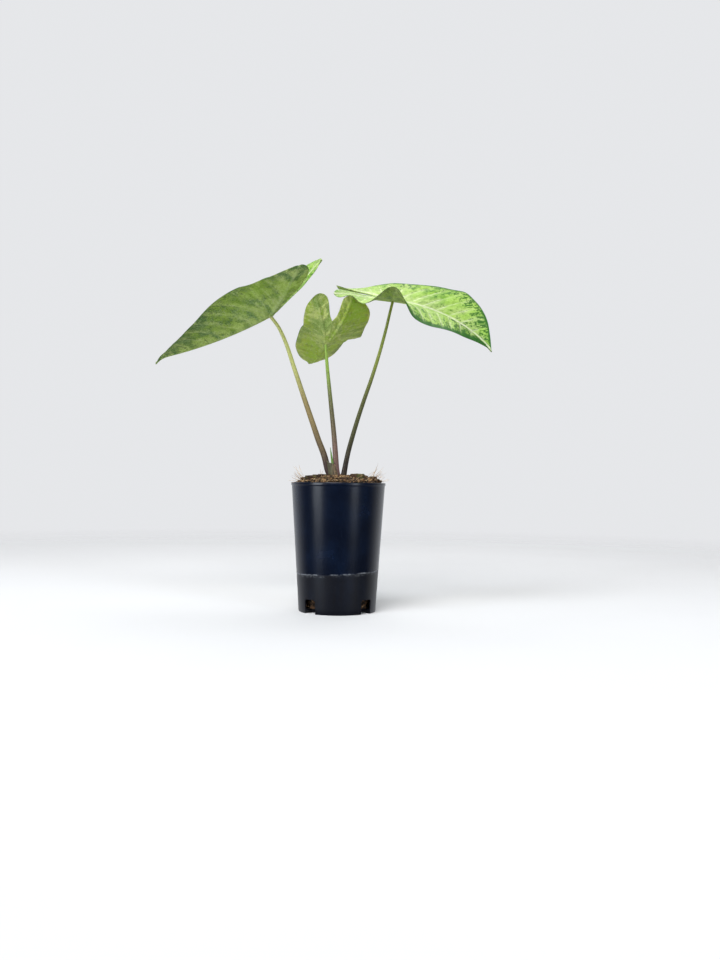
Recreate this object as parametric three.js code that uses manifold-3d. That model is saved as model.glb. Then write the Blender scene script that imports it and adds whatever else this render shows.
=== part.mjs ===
// A young caladium in a tall starter pot: three arrow-shaped leaves on long stalks, growing from a corm
// in coarse coir and bark potting mix. Millimetres, +Z up, origin at the centre of the pot's underside.
// The front faces -Y and +X is to the right.
import * as THREE from "three";
import { mergeVertices } from "three/addons/utils/BufferGeometryUtils.js";
import Module from "manifold-3d";

const wasm = await Module();
wasm.setup();

const { degToRad, clamp, lerp, smoothstep } = THREE.MathUtils;

// Clearance kept between two pieces that touch.
const GAP = 0.3;

// The pot, a slim tapered tube with a small lip.
const POT = {
  height: 95,
  baseRadius: 28.5,
  topRadius: 34.7,
  wall: 1.2,
  lipHeight: 2.2,
  lipProud: 0.3,
  round: 0.5,
  segments: 56,
};
// The pot's floor stands on a round pad in the middle and a foot ring at the edge.
const FLOOR = { padRadius: 14.5, ringWidth: 3.5, raise: 1.6, thickness: 1.4, slope: 1.2 };
// Drain slots through the pot's bottom corner, turned a little from the diagonals.
const SLOT = { count: 4, width: 10, height: 10.4, reach: 6, round: 1.6, turn: 3.4 };

// The potting mix: a plug that fills the pot and swells to a low uneven mound above the rim.
const MIX = {
  clear: 0.35,
  edgeLevel: 94.6,
  moundHeight: 5.2,
  moundRadius: 34,
  moundPower: 2.2,
  lean: 0.02,
  unevenness: 0.45,
  segments: 40,
  rings: 6,
  slotSetBack: 1.2,
};

// The corm, flat on top where the stalks stand in a shallow hollow of the mound, and the roots that grow
// from its shoulder. The hollow widens upwards.
const CORM = {
  x: -1.5,
  radius: 11,
  crownRadius: 8.6,
  crownLevel: 98,
  height: 15,
  hollowDepth: 8,
  hollowFlare: 2,
  segments: 20,
};
const ROOT = {
  count: 6,
  shoulder: 8,
  spread: 22,
  wander: 3,
  depths: [52, 38, 58, 44, 62, 35],
  baseRadius: 1.3,
  topRadius: 0.7,
  sides: 6,
  steps: 5,
};
const STAND_LEVEL = CORM.crownLevel + 1.3 * GAP;

// Bark and husk chunks bedded in the mound: centre, half sizes, turn about the vertical.
const CHUNKS = [
  { at: [-19.5, -16], half: [5, 3.2, 2.8], turn: 20 },
  { at: [14, -14.5], half: [6.2, 3.4, 3], turn: -12 },
  { at: [25.5, -7], half: [4.2, 2.6, 2.2], turn: 70 },
  { at: [25.5, 9.5], half: [4.8, 3, 2.6], turn: 100 },
  { at: [-6, -22.5], half: [4.2, 2.4, 2], turn: 5 },
  { at: [4.5, -26], half: [3.6, 2.2, 1.8], turn: -20 },
  { at: [-26.2, 2], half: [4.4, 2.8, 2.2], turn: 95 },
  { at: [-15, 19], half: [5.2, 3, 2.6], turn: 140 },
  { at: [3, 23], half: [4.6, 2.8, 2.4], turn: 10 },
  { at: [17, 20], half: [4.4, 2.8, 2.2], turn: 130 },
  { at: [-17, 3.5], half: [3.6, 2.4, 2], turn: 75 },
  { at: [14, 1.5], half: [4, 2.6, 2.2], turn: 60 },
  { at: [-3, 14], half: [3.8, 2.4, 2], turn: 170 },
  { at: [-12, -10.5], half: [3.4, 2.2, 1.8], turn: 30 },
];
const CHUNK_ROUGHNESS = 0.16;
const CHUNK_PROUD = 0.25;
const CHUNK_CLEAR = 0.4;

// A blade's half outline as shares of its length: x from the stalk joint to the tip, y across.
const HALF_OUTLINE = [
  [1, 0],
  [0.955, 0.016],
  [0.86, 0.075],
  [0.72, 0.175],
  [0.56, 0.265],
  [0.38, 0.33],
  [0.2, 0.365],
  [0.03, 0.37],
  [-0.13, 0.36],
  [-0.28, 0.34],
  [-0.42, 0.305],
  [-0.525, 0.19],
  [-0.5, 0.085],
  [-0.37, 0.045],
];
// Where on that outline the joint's level and the end of the back lobe are, then the lobe's inner root.
const SHOULDER = 7;
const LOBE_TIP = 11;
const LOBE_ROOT = { x: 0.37, y: 0.03 };

const BLADE = { midribSteps: 12, lobeSteps: 6, rings: 4, thickness: 0.8 };
const STALK = { sides: 10, steps: 14 };

// The three leaves. Angles are in degrees. yaw is the heading of the midrib at the joint and sway what it
// turns by to the tip; pitch is the midrib's slope at the joint, droop what it loses towards the tip and
// hook what it loses in the tip alone; rise is how far the back lobes bend up. fold lifts a half of the
// blade at the joint, foldTip at the tip and foldLobe at the lobe's end; curl bends it on, per millimetre
// from the midrib; a wave lifts the margin of one side near x = at. roll leans the blade, twist adds to
// that towards the tip. skew widens the left half and narrows the right one, taper narrows the front.
// seat is how far below the joint the stalk's top ends.
const LEAVES = [
  {
    name: "left_leaf",
    joint: [-52.4, 0, 218.8],
    length: 119.9,
    width: 0.86,
    skew: -0.08,
    taper: -0.06,
    lobe: 0.89,
    notch: 0.07,
    yaw: 143.5,
    sway: 10.5,
    pitch: -17.1,
    droop: -10.1,
    hook: 43.6,
    rise: 25.6,
    roll: -15.4,
    twist: -2,
    left: { fold: 54.5, foldTip: 23.9, foldLobe: 23.8, curl: -0.6 },
    right: { fold: 63.7, foldTip: 42.1, foldLobe: 42.5, curl: -0.53 },
    waves: [
      { side: 1, at: 51, lift: -1.2, spread: 13 },
      { side: 1, at: -14, lift: -1.2, spread: 12 },
      { side: -1, at: -15, lift: -4.4, spread: 15 },
      { side: 1, at: 73, lift: -1.5, spread: 13 },
    ],
    stalk: {
      path: [
        [-6, 0.5, STAND_LEVEL],
        [-6.1, 0.5, 100.6],
        [-7.9, 0.5, 104.3],
        [-11, 0.5, 115.4],
        [-15.4, 0.5, 126.5],
        [-18.8, 0.4, 136.2],
        [-25.8, 0.3, 156.2],
        [-34.5, 0.2, 181.4],
        [-40.4, 0.1, 198.4],
        [-46, 0, 210.2],
      ],
      baseRadius: 2.4,
      topRadius: 1.2,
    },
    seat: 0.97,
  },
  {
    name: "middle_leaf",
    joint: [-11.4, 18, 201.4],
    length: 76.2,
    width: 1.04,
    skew: -0.19,
    taper: -0.02,
    lobe: 1.07,
    notch: 0.28,
    yaw: 106.7,
    sway: -7.6,
    pitch: -18.8,
    droop: -30.5,
    hook: 9.9,
    rise: 68.3,
    roll: 0,
    twist: 9.9,
    left: { fold: 36.3, foldTip: 7, foldLobe: 7.9, curl: 0.54 },
    right: { fold: 25.2, foldTip: 21.3, foldLobe: -2, curl: 0.44 },
    waves: [
      { side: 1, at: 22, lift: -4.8, spread: 14 },
      { side: -1, at: 38, lift: 9.7, spread: 15 },
      { side: 1, at: -10, lift: -5.9, spread: 12 },
      { side: -1, at: 0, lift: -7.8, spread: 14 },
    ],
    stalk: {
      path: [
        [-1.1, 2, STAND_LEVEL],
        [-1.2, 2, 100.6],
        [-1.7, 2.3, 104],
        [-2.7, 3.8, 117],
        [-4.1, 5.7, 132.2],
        [-6.5, 9.1, 153.2],
        [-8.6, 12.2, 170.9],
        [-10.4, 15.4, 187.4],
      ],
      baseRadius: 2.2,
      topRadius: 1.1,
    },
    seat: 0.85,
  },
  {
    name: "right_leaf",
    joint: [38.6, -14, 228.9],
    length: 86.2,
    width: 1.08,
    skew: -0.13,
    taper: -0.2,
    lobe: 0.93,
    notch: 0.15,
    yaw: -6,
    sway: -26.6,
    pitch: -8,
    droop: 40.7,
    hook: 12.8,
    rise: 13.3,
    roll: -1.2,
    twist: 10.8,
    left: { fold: 33.5, foldTip: 55.1, foldLobe: 8.6, curl: 0.23 },
    right: { fold: -17.1, foldTip: -9.8, foldLobe: -33.6, curl: -0.36 },
    waves: [
      { side: -1, at: 3, lift: 10.2, spread: 17 },
      { side: -1, at: -31, lift: 7.3, spread: 9 },
      { side: 1, at: 76, lift: 5.6, spread: 8 },
      { side: -1, at: 62, lift: 2.7, spread: 12 },
      { side: 1, at: 42, lift: 1.8, spread: 6 },
    ],
    stalk: {
      path: [
        [3.8, -0.4, STAND_LEVEL],
        [3.9, -0.4, 100.6],
        [4.9, -0.8, 107],
        [7.1, -1.5, 118.1],
        [12.7, -3.3, 138.6],
        [18.1, -5, 155.6],
        [23.4, -6.7, 171.2],
        [28.9, -8.8, 189.3],
        [33.4, -11, 206.3],
        [36.3, -12.7, 219],
      ],
      baseRadius: 1.9,
      topRadius: 0.95,
    },
    seat: 0.88,
  },
];

// The rolled new leaf that stands between the left and middle stalks.
const NEW_LEAF = {
  path: [
    [-3.7, -3.1, STAND_LEVEL],
    [-4.1, -3.1, 105],
    [-5.3, -2.9, 114],
    [-6.3, -2.7, 121],
  ],
  baseRadius: 1.25,
  topRadius: 0.15,
  taper: 1.8,
  sides: 8,
  steps: 8,
};

// The split sheath that wraps the front of the crown: an open trough that narrows to its slanted top.
const SHEATH = {
  path: [
    [-3.9, -3, STAND_LEVEL],
    [-4, -3, 100.6],
    [-4.7, -3.3, 104.5],
    [-6, -3.4, 112],
  ],
  baseRadius: 3.3,
  topRadius: 2.6,
  wall: 0.6,
  reach: 95,
  slant: 0.18,
  columns: 14,
  rows: 5,
};

const WALL_LEAN = (POT.topRadius - POT.baseRadius) / POT.height;
const outerRadius = (z) => POT.baseRadius + WALL_LEAN * z;
const innerRadius = (z) => outerRadius(z) - POT.wall;
const floorTop = FLOOR.raise + FLOOR.thickness;

// Merges a geometry's shared corners and drops the faces that this collapses.
function closed(geometry) {
  const bare = geometry.clone();
  bare.deleteAttribute("normal");
  bare.deleteAttribute("uv");
  const merged = mergeVertices(bare, 1e-3);
  const corners = merged.index.array;
  const kept = [];
  for (let i = 0; i < corners.length; i += 3) {
    const [a, b, c] = corners.slice(i, i + 3);
    if (a !== b && b !== c && c !== a) kept.push(a, b, c);
  }
  merged.setIndex(kept);
  return merged;
}

function solidOf(geometry) {
  const merged = closed(geometry);
  return new wasm.Manifold(
    new wasm.Mesh({
      numProp: 3,
      vertProperties: merged.getAttribute("position").array,
      triVerts: Uint32Array.from(merged.index.array),
    }),
  );
}

function geometryOf(solid) {
  const mesh = solid.getMesh();
  const geometry = new THREE.BufferGeometry();
  geometry.setAttribute("position", new THREE.BufferAttribute(mesh.vertProperties, 3));
  geometry.setIndex(new THREE.BufferAttribute(mesh.triVerts, 1));
  return geometry;
}

// Turns a profile of (radius, height) points about the vertical axis.
function turned(profile, segments) {
  const points = profile.map(([radius, z]) => new THREE.Vector2(radius, z));
  return new THREE.LatheGeometry(points, segments).rotateX(Math.PI / 2);
}

// A closed geometry's corners, each moved by a function of the corner and its number.
function reshaped(geometry, move) {
  const result = closed(geometry);
  const place = result.getAttribute("position");
  const point = new THREE.Vector3();
  for (let i = 0; i < place.count; i++) {
    move(point.fromBufferAttribute(place, i), i);
    place.setXYZ(i, point.x, point.y, point.z);
  }
  return result;
}

// A closed skin: a plane of columns and rows whose corners are placed by a function of both, then merged.
function skin(columns, rows, corner) {
  const plane = new THREE.PlaneGeometry(1, 1, columns, rows);
  const place = plane.getAttribute("position");
  for (let i = 0; i < place.count; i++) {
    const point = corner(i % (columns + 1), Math.floor(i / (columns + 1)));
    place.setXYZ(i, point.x, point.y, point.z);
  }
  return closed(plane);
}

const curveThrough = (points) => new THREE.CatmullRomCurve3(points.map((p) => new THREE.Vector3(...p)));

// A round tapered stalk, root or spike along a path, made larger all over by grow. A taper over 1 keeps
// the lower part thick.
function tapered({ path, baseRadius, topRadius, taper = 1, sides, steps }, grow = 0) {
  const curve = curveThrough(path);
  const frames = curve.computeFrenetFrames(steps, false);
  const allowance = grow / Math.cos(Math.PI / sides);
  return reshaped(new THREE.CylinderGeometry(1, 1, 1, sides, steps), (point) => {
    const share = clamp(point.y + 0.5, 0, 1);
    const step = Math.round(share * steps);
    const radius = lerp(baseRadius, topRadius, share ** taper) + allowance;
    const onward = step === steps ? grow : step === 0 ? -grow : 0;
    const [sideways, forward] = [point.x * radius, point.z * radius];
    point.copy(curve.getPointAt(share)).addScaledVector(frames.tangents[step], onward);
    point.addScaledVector(frames.binormals[step], sideways).addScaledVector(frames.normals[step], forward);
  });
}

// The slope of a blade's midrib line at x, in degrees.
function spineSlope(leaf, x) {
  const share = x / leaf.length;
  if (x < 0) return leaf.pitch + 2 * leaf.rise * share;
  const inTip = Math.max(0, (share - 0.85) / 0.15);
  return leaf.pitch - leaf.droop * share - leaf.hook * inTip ** 2;
}

// The midrib line's tangent at x, the level direction to its left, and the direction square to both.
function spineFrame(leaf, x) {
  const slope = degToRad(spineSlope(leaf, x));
  const heading = degToRad(leaf.yaw + (leaf.sway * x) / leaf.length);
  const ahead = new THREE.Vector3(Math.cos(heading), Math.sin(heading), 0);
  const tangent = ahead.clone().multiplyScalar(Math.cos(slope)).setZ(Math.sin(slope));
  const level = new THREE.Vector3(-ahead.y, ahead.x, 0);
  return { tangent, level, upward: tangent.clone().cross(level) };
}

// Points of the midrib line at every millimetre, from behind the lobes to the tip.
function spineTable(leaf) {
  const back = Math.ceil(0.75 * leaf.length);
  const front = Math.ceil(leaf.length) + 1;
  const table = new Map([[0, new THREE.Vector3(...leaf.joint)]]);
  const tangent = (x) => spineFrame(leaf, x).tangent;
  for (let i = 1; i <= front; i++) table.set(i, table.get(i - 1).clone().add(tangent(i - 0.5)));
  for (let i = -1; i >= -back; i--) table.set(i, table.get(i + 1).clone().sub(tangent(i + 0.5)));
  return table;
}

// Bends flat blade coordinates, x along the midrib and y across, into the leaf's place in space.
function bladePoint(leaf, x, y) {
  const cell = Math.floor(x);
  const point = leaf.spine.get(cell).clone().lerp(leaf.spine.get(cell + 1), x - cell);
  const half = y >= 0 ? leaf.left : leaf.right;
  const distance = Math.abs(y);
  const toTip = smoothstep(x, 0, leaf.length);
  const toLobe = smoothstep(-x, 0, 0.5 * leaf.length);
  const turn = half.fold + (half.foldTip - half.fold) * toTip + (half.foldLobe - half.fold) * toLobe;
  const fold = degToRad(turn);
  const curl = degToRad(half.curl);
  const across = (Math.sign(y) * (Math.sin(fold + curl * distance) - Math.sin(fold))) / curl;
  let lift = (Math.cos(fold) - Math.cos(fold + curl * distance)) / curl;
  for (const wave of leaf.waves) {
    const near = Math.exp(-(((x - wave.at) / wave.spread) ** 2));
    if (wave.side * y > 0) lift += wave.lift * near * (distance / 30) ** 2;
  }
  const { level, upward } = spineFrame(leaf, x);
  const roll = degToRad(leaf.roll + leaf.twist * toTip);
  return point
    .addScaledVector(level, across * Math.cos(roll) - lift * Math.sin(roll))
    .addScaledVector(upward, across * Math.sin(roll) + lift * Math.cos(roll));
}

// The upper side's normal, from short steps along and across the blade.
function bladeNormal(leaf, x, y) {
  const step = 0.5;
  const along = bladePoint(leaf, x + step, y).sub(bladePoint(leaf, x - step, y));
  const across = bladePoint(leaf, x, y + step).sub(bladePoint(leaf, x, y - step));
  return along.cross(across).normalize();
}

// One half of the flat blade as columns that each run from a rib to the margin: down the midrib from
// the tip, out along the lobe's rib and back along the lobe's inner side to the notch.
function halfColumns(leaf) {
  const inner = [
    [-(leaf.notch + LOBE_ROOT.x) / 2, LOBE_ROOT.y],
    [-leaf.notch, 0],
  ];
  const outline = new THREE.SplineCurve([...HALF_OUTLINE, ...inner].map(([x, y]) => new THREE.Vector2(x, y)));
  const last = outline.points.length - 1;
  const lobeTip = outline.points[LOBE_TIP];
  const columns = [];
  const add = (index, rib) => columns.push({ margin: outline.getPoint(index / last), rib });
  for (let i = 0; i <= BLADE.midribSteps; i++) {
    const share = i / BLADE.midribSteps;
    add(SHOULDER * share, new THREE.Vector2(1 - share, 0));
  }
  for (let i = 1; i <= BLADE.lobeSteps; i++) {
    const share = i / BLADE.lobeSteps;
    add(lerp(SHOULDER, LOBE_TIP, share), lobeTip.clone().multiplyScalar(share));
  }
  for (let i = 1; i <= BLADE.lobeSteps; i++) {
    const share = i / BLADE.lobeSteps;
    add(lerp(LOBE_TIP, last, share), lobeTip.clone().multiplyScalar(1 - share));
  }
  return columns;
}

// A flat point of the blade in millimetres, from its shares of the length. side is 1 left, -1 right.
function flatPoint(leaf, share, side) {
  const breadth = leaf.width * (1 + side * leaf.skew) * (1 - leaf.taper * Math.max(0, share.x));
  const reach = share.x < 0 ? leaf.lobe : 1;
  return [share.x * reach * leaf.length, side * share.y * breadth * leaf.length];
}

// A closed thin blade. Its columns go once round the outline, and its rows run from the ribs over the
// upper side to the margin and back under it.
function bladeGeometry(leaf) {
  const half = halfColumns(leaf);
  const last = 2 * half.length - 1;
  return skin(last, 2 * BLADE.rings, (column, row) => {
    const side = column < half.length ? 1 : -1;
    const { margin, rib } = half[side > 0 ? column : last - column];
    const share = 1 - Math.abs(row / BLADE.rings - 1);
    const [x, y] = flatPoint(leaf, rib.clone().lerp(margin, share), side);
    const thickness = BLADE.thickness * Math.sqrt(1 - share ** 6);
    const offset = (row < BLADE.rings ? 0.5 : -0.5) * thickness;
    return bladePoint(leaf, x, y).addScaledVector(bladeNormal(leaf, x, y), offset);
  });
}

// The level of the mound's surface above a point of the pot.
function moundLevel(x, y) {
  const share = Math.min(1, Math.hypot(x, y) / MIX.moundRadius);
  const uneven = Math.sin(0.31 * x + 1.3) * Math.cos(0.27 * y - 0.6) + 0.6 * Math.sin(0.53 * y + 0.47 * x);
  const mound = MIX.moundHeight * (1 - share ** MIX.moundPower);
  return MIX.edgeLevel + mound + MIX.lean * x + MIX.unevenness * uneven * (1 - share ** 4);
}

// A drain slot's cutter: a round-topped outline pushed outwards from inside the pot.
function slotCutter(number, grow) {
  const half = SLOT.width / 2 + grow;
  const top = SLOT.height + grow;
  const shape = new THREE.Shape();
  shape.moveTo(-half, -1);
  shape.lineTo(half, -1);
  shape.lineTo(half, top - SLOT.round);
  shape.absarc(half - SLOT.round, top - SLOT.round, SLOT.round, 0, Math.PI / 2);
  shape.lineTo(SLOT.round - half, top);
  shape.absarc(SLOT.round - half, top - SLOT.round, SLOT.round, Math.PI / 2, Math.PI);
  shape.closePath();
  const depth = 2 * SLOT.reach + grow;
  const cutter = new THREE.ExtrudeGeometry(shape, { depth, curveSegments: 4, bevelEnabled: false });
  cutter.rotateX(Math.PI / 2);
  cutter.translate(0, grow + SLOT.reach - POT.baseRadius, 0);
  return cutter.rotateZ(degToRad(45 + SLOT.turn + (360 / SLOT.count) * number));
}

function potGeometry() {
  const { height, round, wall, lipHeight, lipProud, topRadius, baseRadius } = POT;
  const { padRadius, ringWidth, raise, thickness, slope } = FLOOR;
  const ringInner = baseRadius - ringWidth;
  const lipBottom = height - lipHeight;
  const lipRadius = topRadius + lipProud;
  const profile = [
    [0, 0],
    [padRadius, 0],
    [padRadius + slope, raise],
    [ringInner - slope, raise],
    [ringInner, 0],
    [baseRadius - round, 0],
    [outerRadius(round), round],
    [outerRadius(lipBottom), lipBottom],
    [lipRadius, lipBottom + lipProud],
    [lipRadius, height - round],
    [lipRadius - round, height],
    [topRadius - wall + round, height],
    [innerRadius(height - round), height - round],
    [innerRadius(floorTop), floorTop],
    [padRadius + slope - thickness / 2, floorTop],
    [padRadius - thickness / 2, thickness],
    [0, thickness],
  ];
  let pot = solidOf(turned(profile, POT.segments));
  for (let i = 0; i < SLOT.count; i++) pot = pot.subtract(solidOf(slotCutter(i, 0)));
  return geometryOf(pot);
}

// One root: out from the corm's shoulder, then down through the mix.
function rootGeometry(number, grow) {
  const { count, shoulder, spread, wander, depths } = ROOT;
  const depth = depths[number];
  const point = (reach, drop) => {
    const angle = ((number + 0.3) / count) * 2 * Math.PI + (wander * Math.sin(drop / 9 + number)) / reach;
    return [CORM.x + reach * Math.cos(angle), reach * Math.sin(angle), CORM.crownLevel - drop];
  };
  const path = [
    point(shoulder, 7),
    point((shoulder + spread) / 2, 9),
    point(spread - 3, 0.3 * depth),
    point(spread, 0.65 * depth),
    point(spread - 1, depth),
  ];
  return tapered({ ...ROOT, path }, grow);
}

// The corm with its roots, made larger all over by grow. An opening above it makes the pocket it fills.
function cormSolid(grow, opening = 0) {
  const { x, radius, crownRadius, crownLevel, height, hollowDepth, hollowFlare, segments } = CORM;
  const wide = radius + grow;
  const bottom = crownLevel - height - grow;
  const top = crownLevel + grow;
  const profile = [
    [0, bottom],
    [0.5 * wide, bottom + 0.04 * height],
    [0.88 * wide, bottom + 0.25 * height],
    [wide, bottom + 0.55 * height],
    [0.95 * wide, top - 0.2 * height],
    [crownRadius + grow, top],
    [crownRadius + grow + opening * hollowFlare, top + opening * hollowDepth],
    [0, top + opening * hollowDepth],
  ];
  let corm = solidOf(turned(profile, segments).translate(x, 0, 0));
  for (let i = 0; i < ROOT.count; i++) corm = corm.add(solidOf(rootGeometry(i, grow)));
  return corm;
}

// A rough chunk of bark or husk, made larger all over by grow.
function chunkGeometry({ at, half, turn }, number, grow) {
  const level = moundLevel(...at) + CHUNK_PROUD * half[2];
  const size = new THREE.Vector3(...half).addScalar(grow);
  const rough = reshaped(new THREE.IcosahedronGeometry(1, 1), (point, i) => {
    const jitter = CHUNK_ROUGHNESS * Math.sin(37.7 * i + 11.3 * number);
    point.multiplyScalar(1 + jitter).multiply(size);
  });
  return rough.rotateZ(degToRad(turn)).translate(at[0], at[1], level);
}

// The sheath: rows climb the trough's outer face and come down its inner face, and the last closes the
// bottom edge. The wall thins to nothing at the two open margins.
function sheathGeometry() {
  const { path, baseRadius, topRadius, wall, reach, slant, columns, rows } = SHEATH;
  const curve = curveThrough(path);
  return skin(columns, 2 * rows + 2, (column, row) => {
    const outside = row <= rows || row > 2 * rows + 1;
    const climbed = row > 2 * rows + 1 ? 0 : Math.min(row, 2 * rows + 1 - row) / rows;
    const open = 1 - (2 * column) / columns;
    const share = climbed * (1 - slant * (open + 1));
    const radius = lerp(baseRadius, topRadius, share);
    const turn = degToRad(reach * open);
    const half = 0.5 * wall * Math.sqrt(1 - open ** 6);
    const used = radius + (outside ? half : -half);
    const tangent = curve.getTangentAt(share);
    const right = tangent.clone().cross(new THREE.Vector3(0, -1, 0)).normalize();
    const front = right.clone().cross(tangent);
    return curve
      .getPointAt(share)
      .addScaledVector(right, used * Math.sin(turn))
      .addScaledVector(front, used * Math.cos(turn));
  });
}

for (const leaf of LEAVES) {
  leaf.spine = spineTable(leaf);
  const up = bladeNormal(leaf, 0, 1).add(bladeNormal(leaf, 0, -1)).normalize();
  const top = new THREE.Vector3(...leaf.joint).addScaledVector(up, -leaf.seat);
  leaf.stalk.path.push(top.toArray());
}


// The mix: a turned plug with the mound on top, less the pockets of all that is bedded in it.
function mixGeometry() {
  const { clear, edgeLevel, segments, rings, slotSetBack } = MIX;
  const { padRadius, thickness, slope } = FLOOR;
  const rim = innerRadius(edgeLevel) - clear;
  const stepRadius = padRadius - thickness / 2 - 2 * clear;
  const profile = [
    [0, thickness + clear],
    [stepRadius, thickness + clear],
    [stepRadius + slope, floorTop + clear],
    [innerRadius(floorTop) - clear, floorTop + clear],
  ];
  for (let i = 0; i <= rings; i++) profile.push([rim * (1 - i / rings), edgeLevel]);
  const plug = reshaped(turned(profile, segments), (point) => {
    if (point.z > floorTop + clear) point.z = moundLevel(point.x, point.y);
  });
  let mix = solidOf(plug);
  const pockets = CHUNKS.map((chunk, i) => chunkGeometry(chunk, i, CHUNK_CLEAR));
  for (let i = 0; i < SLOT.count; i++) pockets.push(slotCutter(i, slotSetBack));
  for (const pocket of pockets) mix = mix.subtract(solidOf(pocket));
  return geometryOf(mix.subtract(cormSolid(GAP, 1)));
}

const plant = new THREE.Group();

function addPiece(name, geometry, color, roughness) {
  const material = new THREE.MeshStandardMaterial({ color, roughness, metalness: 0 });
  const mesh = new THREE.Mesh(geometry, material);
  mesh.name = name;
  plant.add(mesh);
}

addPiece("pot", potGeometry(), 0x0b1020, 0.3);
addPiece("potting_mix", mixGeometry(), 0x5a3a22, 0.95);
addPiece("corm", geometryOf(cormSolid(0)), 0x8a6a45, 0.8);
CHUNKS.forEach((chunk, i) => addPiece(`bark_chunk_${i + 1}`, chunkGeometry(chunk, i, 0), 0x3a2416, 0.9));
for (const leaf of LEAVES) {
  addPiece(`${leaf.name}_stalk`, tapered({ ...STALK, ...leaf.stalk }), 0x5f5a36, 0.55);
  addPiece(`${leaf.name}_blade`, bladeGeometry(leaf), 0x7ea446, 0.5);
}
addPiece("new_leaf", tapered(NEW_LEAF), 0x6f9440, 0.5);
addPiece("sheath", sheathGeometry(), 0x8c8b74, 0.7);

export default plant;
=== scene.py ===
"""A young caladium in a tall starter pot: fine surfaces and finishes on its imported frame."""

import math
import random

import bmesh
import bpy
from bpy.props import FloatProperty, FloatVectorProperty, IntProperty, PointerProperty
from mathutils import Matrix, Vector, noise


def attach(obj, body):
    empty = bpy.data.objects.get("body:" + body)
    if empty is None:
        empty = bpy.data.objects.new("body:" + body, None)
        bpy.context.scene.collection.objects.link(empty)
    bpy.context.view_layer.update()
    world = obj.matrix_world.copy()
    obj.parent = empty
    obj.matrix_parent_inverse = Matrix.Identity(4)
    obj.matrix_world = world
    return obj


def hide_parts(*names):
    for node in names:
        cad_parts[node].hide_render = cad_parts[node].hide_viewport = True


bl_info = {
    "name": "Potted Caladium",
    "version": (1, 0, 0),
    "blender": (4, 5, 0),
    "location": "View3D > Sidebar > Caladium",
    "description": "Builds the fine surfaces and finishes of a young caladium in a starter pot",
    "category": "Object",
}

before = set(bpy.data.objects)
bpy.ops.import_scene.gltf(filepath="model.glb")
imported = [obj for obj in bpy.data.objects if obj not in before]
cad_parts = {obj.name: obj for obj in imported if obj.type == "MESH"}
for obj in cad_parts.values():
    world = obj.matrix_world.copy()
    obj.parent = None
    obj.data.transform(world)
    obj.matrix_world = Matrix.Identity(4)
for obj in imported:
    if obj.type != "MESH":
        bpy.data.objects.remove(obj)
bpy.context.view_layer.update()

# The tables below are in millimetres and degrees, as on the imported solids.
MM = 0.001

POT = {"height": 95, "base": 28.5, "top": 34.7, "wall": 1.2, "lip": 2.2, "proud": 0.3, "round": 0.5}
FLOOR = {"pad": 14.5, "ring": 3.5, "raise": 1.6, "thickness": 1.4, "slope": 1.2}
SLOT = {"count": 4, "width": 10, "height": 10.4, "reach": 6, "round": 1.6, "turn": 3.4}
MOUND = {"edge": 94.6, "height": 5.2, "radius": 34, "power": 2.2, "lean": 0.02, "uneven": 0.45}
STAND_LEVEL = 98.39

# Bark and husk chunks: centre, half sizes, turn about the vertical.
CHUNKS = [
    ((-19.5, -16), (5, 3.2, 2.8), 20), ((14, -14.5), (6.2, 3.4, 3), -12),
    ((25.5, -7), (4.2, 2.6, 2.2), 70), ((25.5, 9.5), (4.8, 3, 2.6), 100),
    ((-6, -22.5), (4.2, 2.4, 2), 5), ((4.5, -26), (3.6, 2.2, 1.8), -20),
    ((-26.2, 2), (4.4, 2.8, 2.2), 95), ((-15, 19), (5.2, 3, 2.6), 140),
    ((3, 23), (4.6, 2.8, 2.4), 10), ((17, 20), (4.4, 2.8, 2.2), 130),
    ((-17, 3.5), (3.6, 2.4, 2), 75), ((14, 1.5), (4, 2.6, 2.2), 60),
    ((-3, 14), (3.8, 2.4, 2), 170), ((-12, -10.5), (3.4, 2.2, 1.8), 30),
]
CHUNK_PROUD = 0.25

# A blade's half outline as shares of its length: x from the stalk joint to the tip, y across.
HALF_OUTLINE = [
    (1, 0), (0.955, 0.016), (0.86, 0.075), (0.72, 0.175), (0.56, 0.265), (0.38, 0.33),
    (0.2, 0.365), (0.03, 0.37), (-0.13, 0.36), (-0.28, 0.34), (-0.42, 0.305), (-0.525, 0.19),
    (-0.5, 0.085), (-0.37, 0.045),
]
HALF_WIDTH = max(y for _, y in HALF_OUTLINE)
SHOULDER = 7
LOBE_TIP = 11
LOBE_ROOT = (0.37, 0.03)

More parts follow.
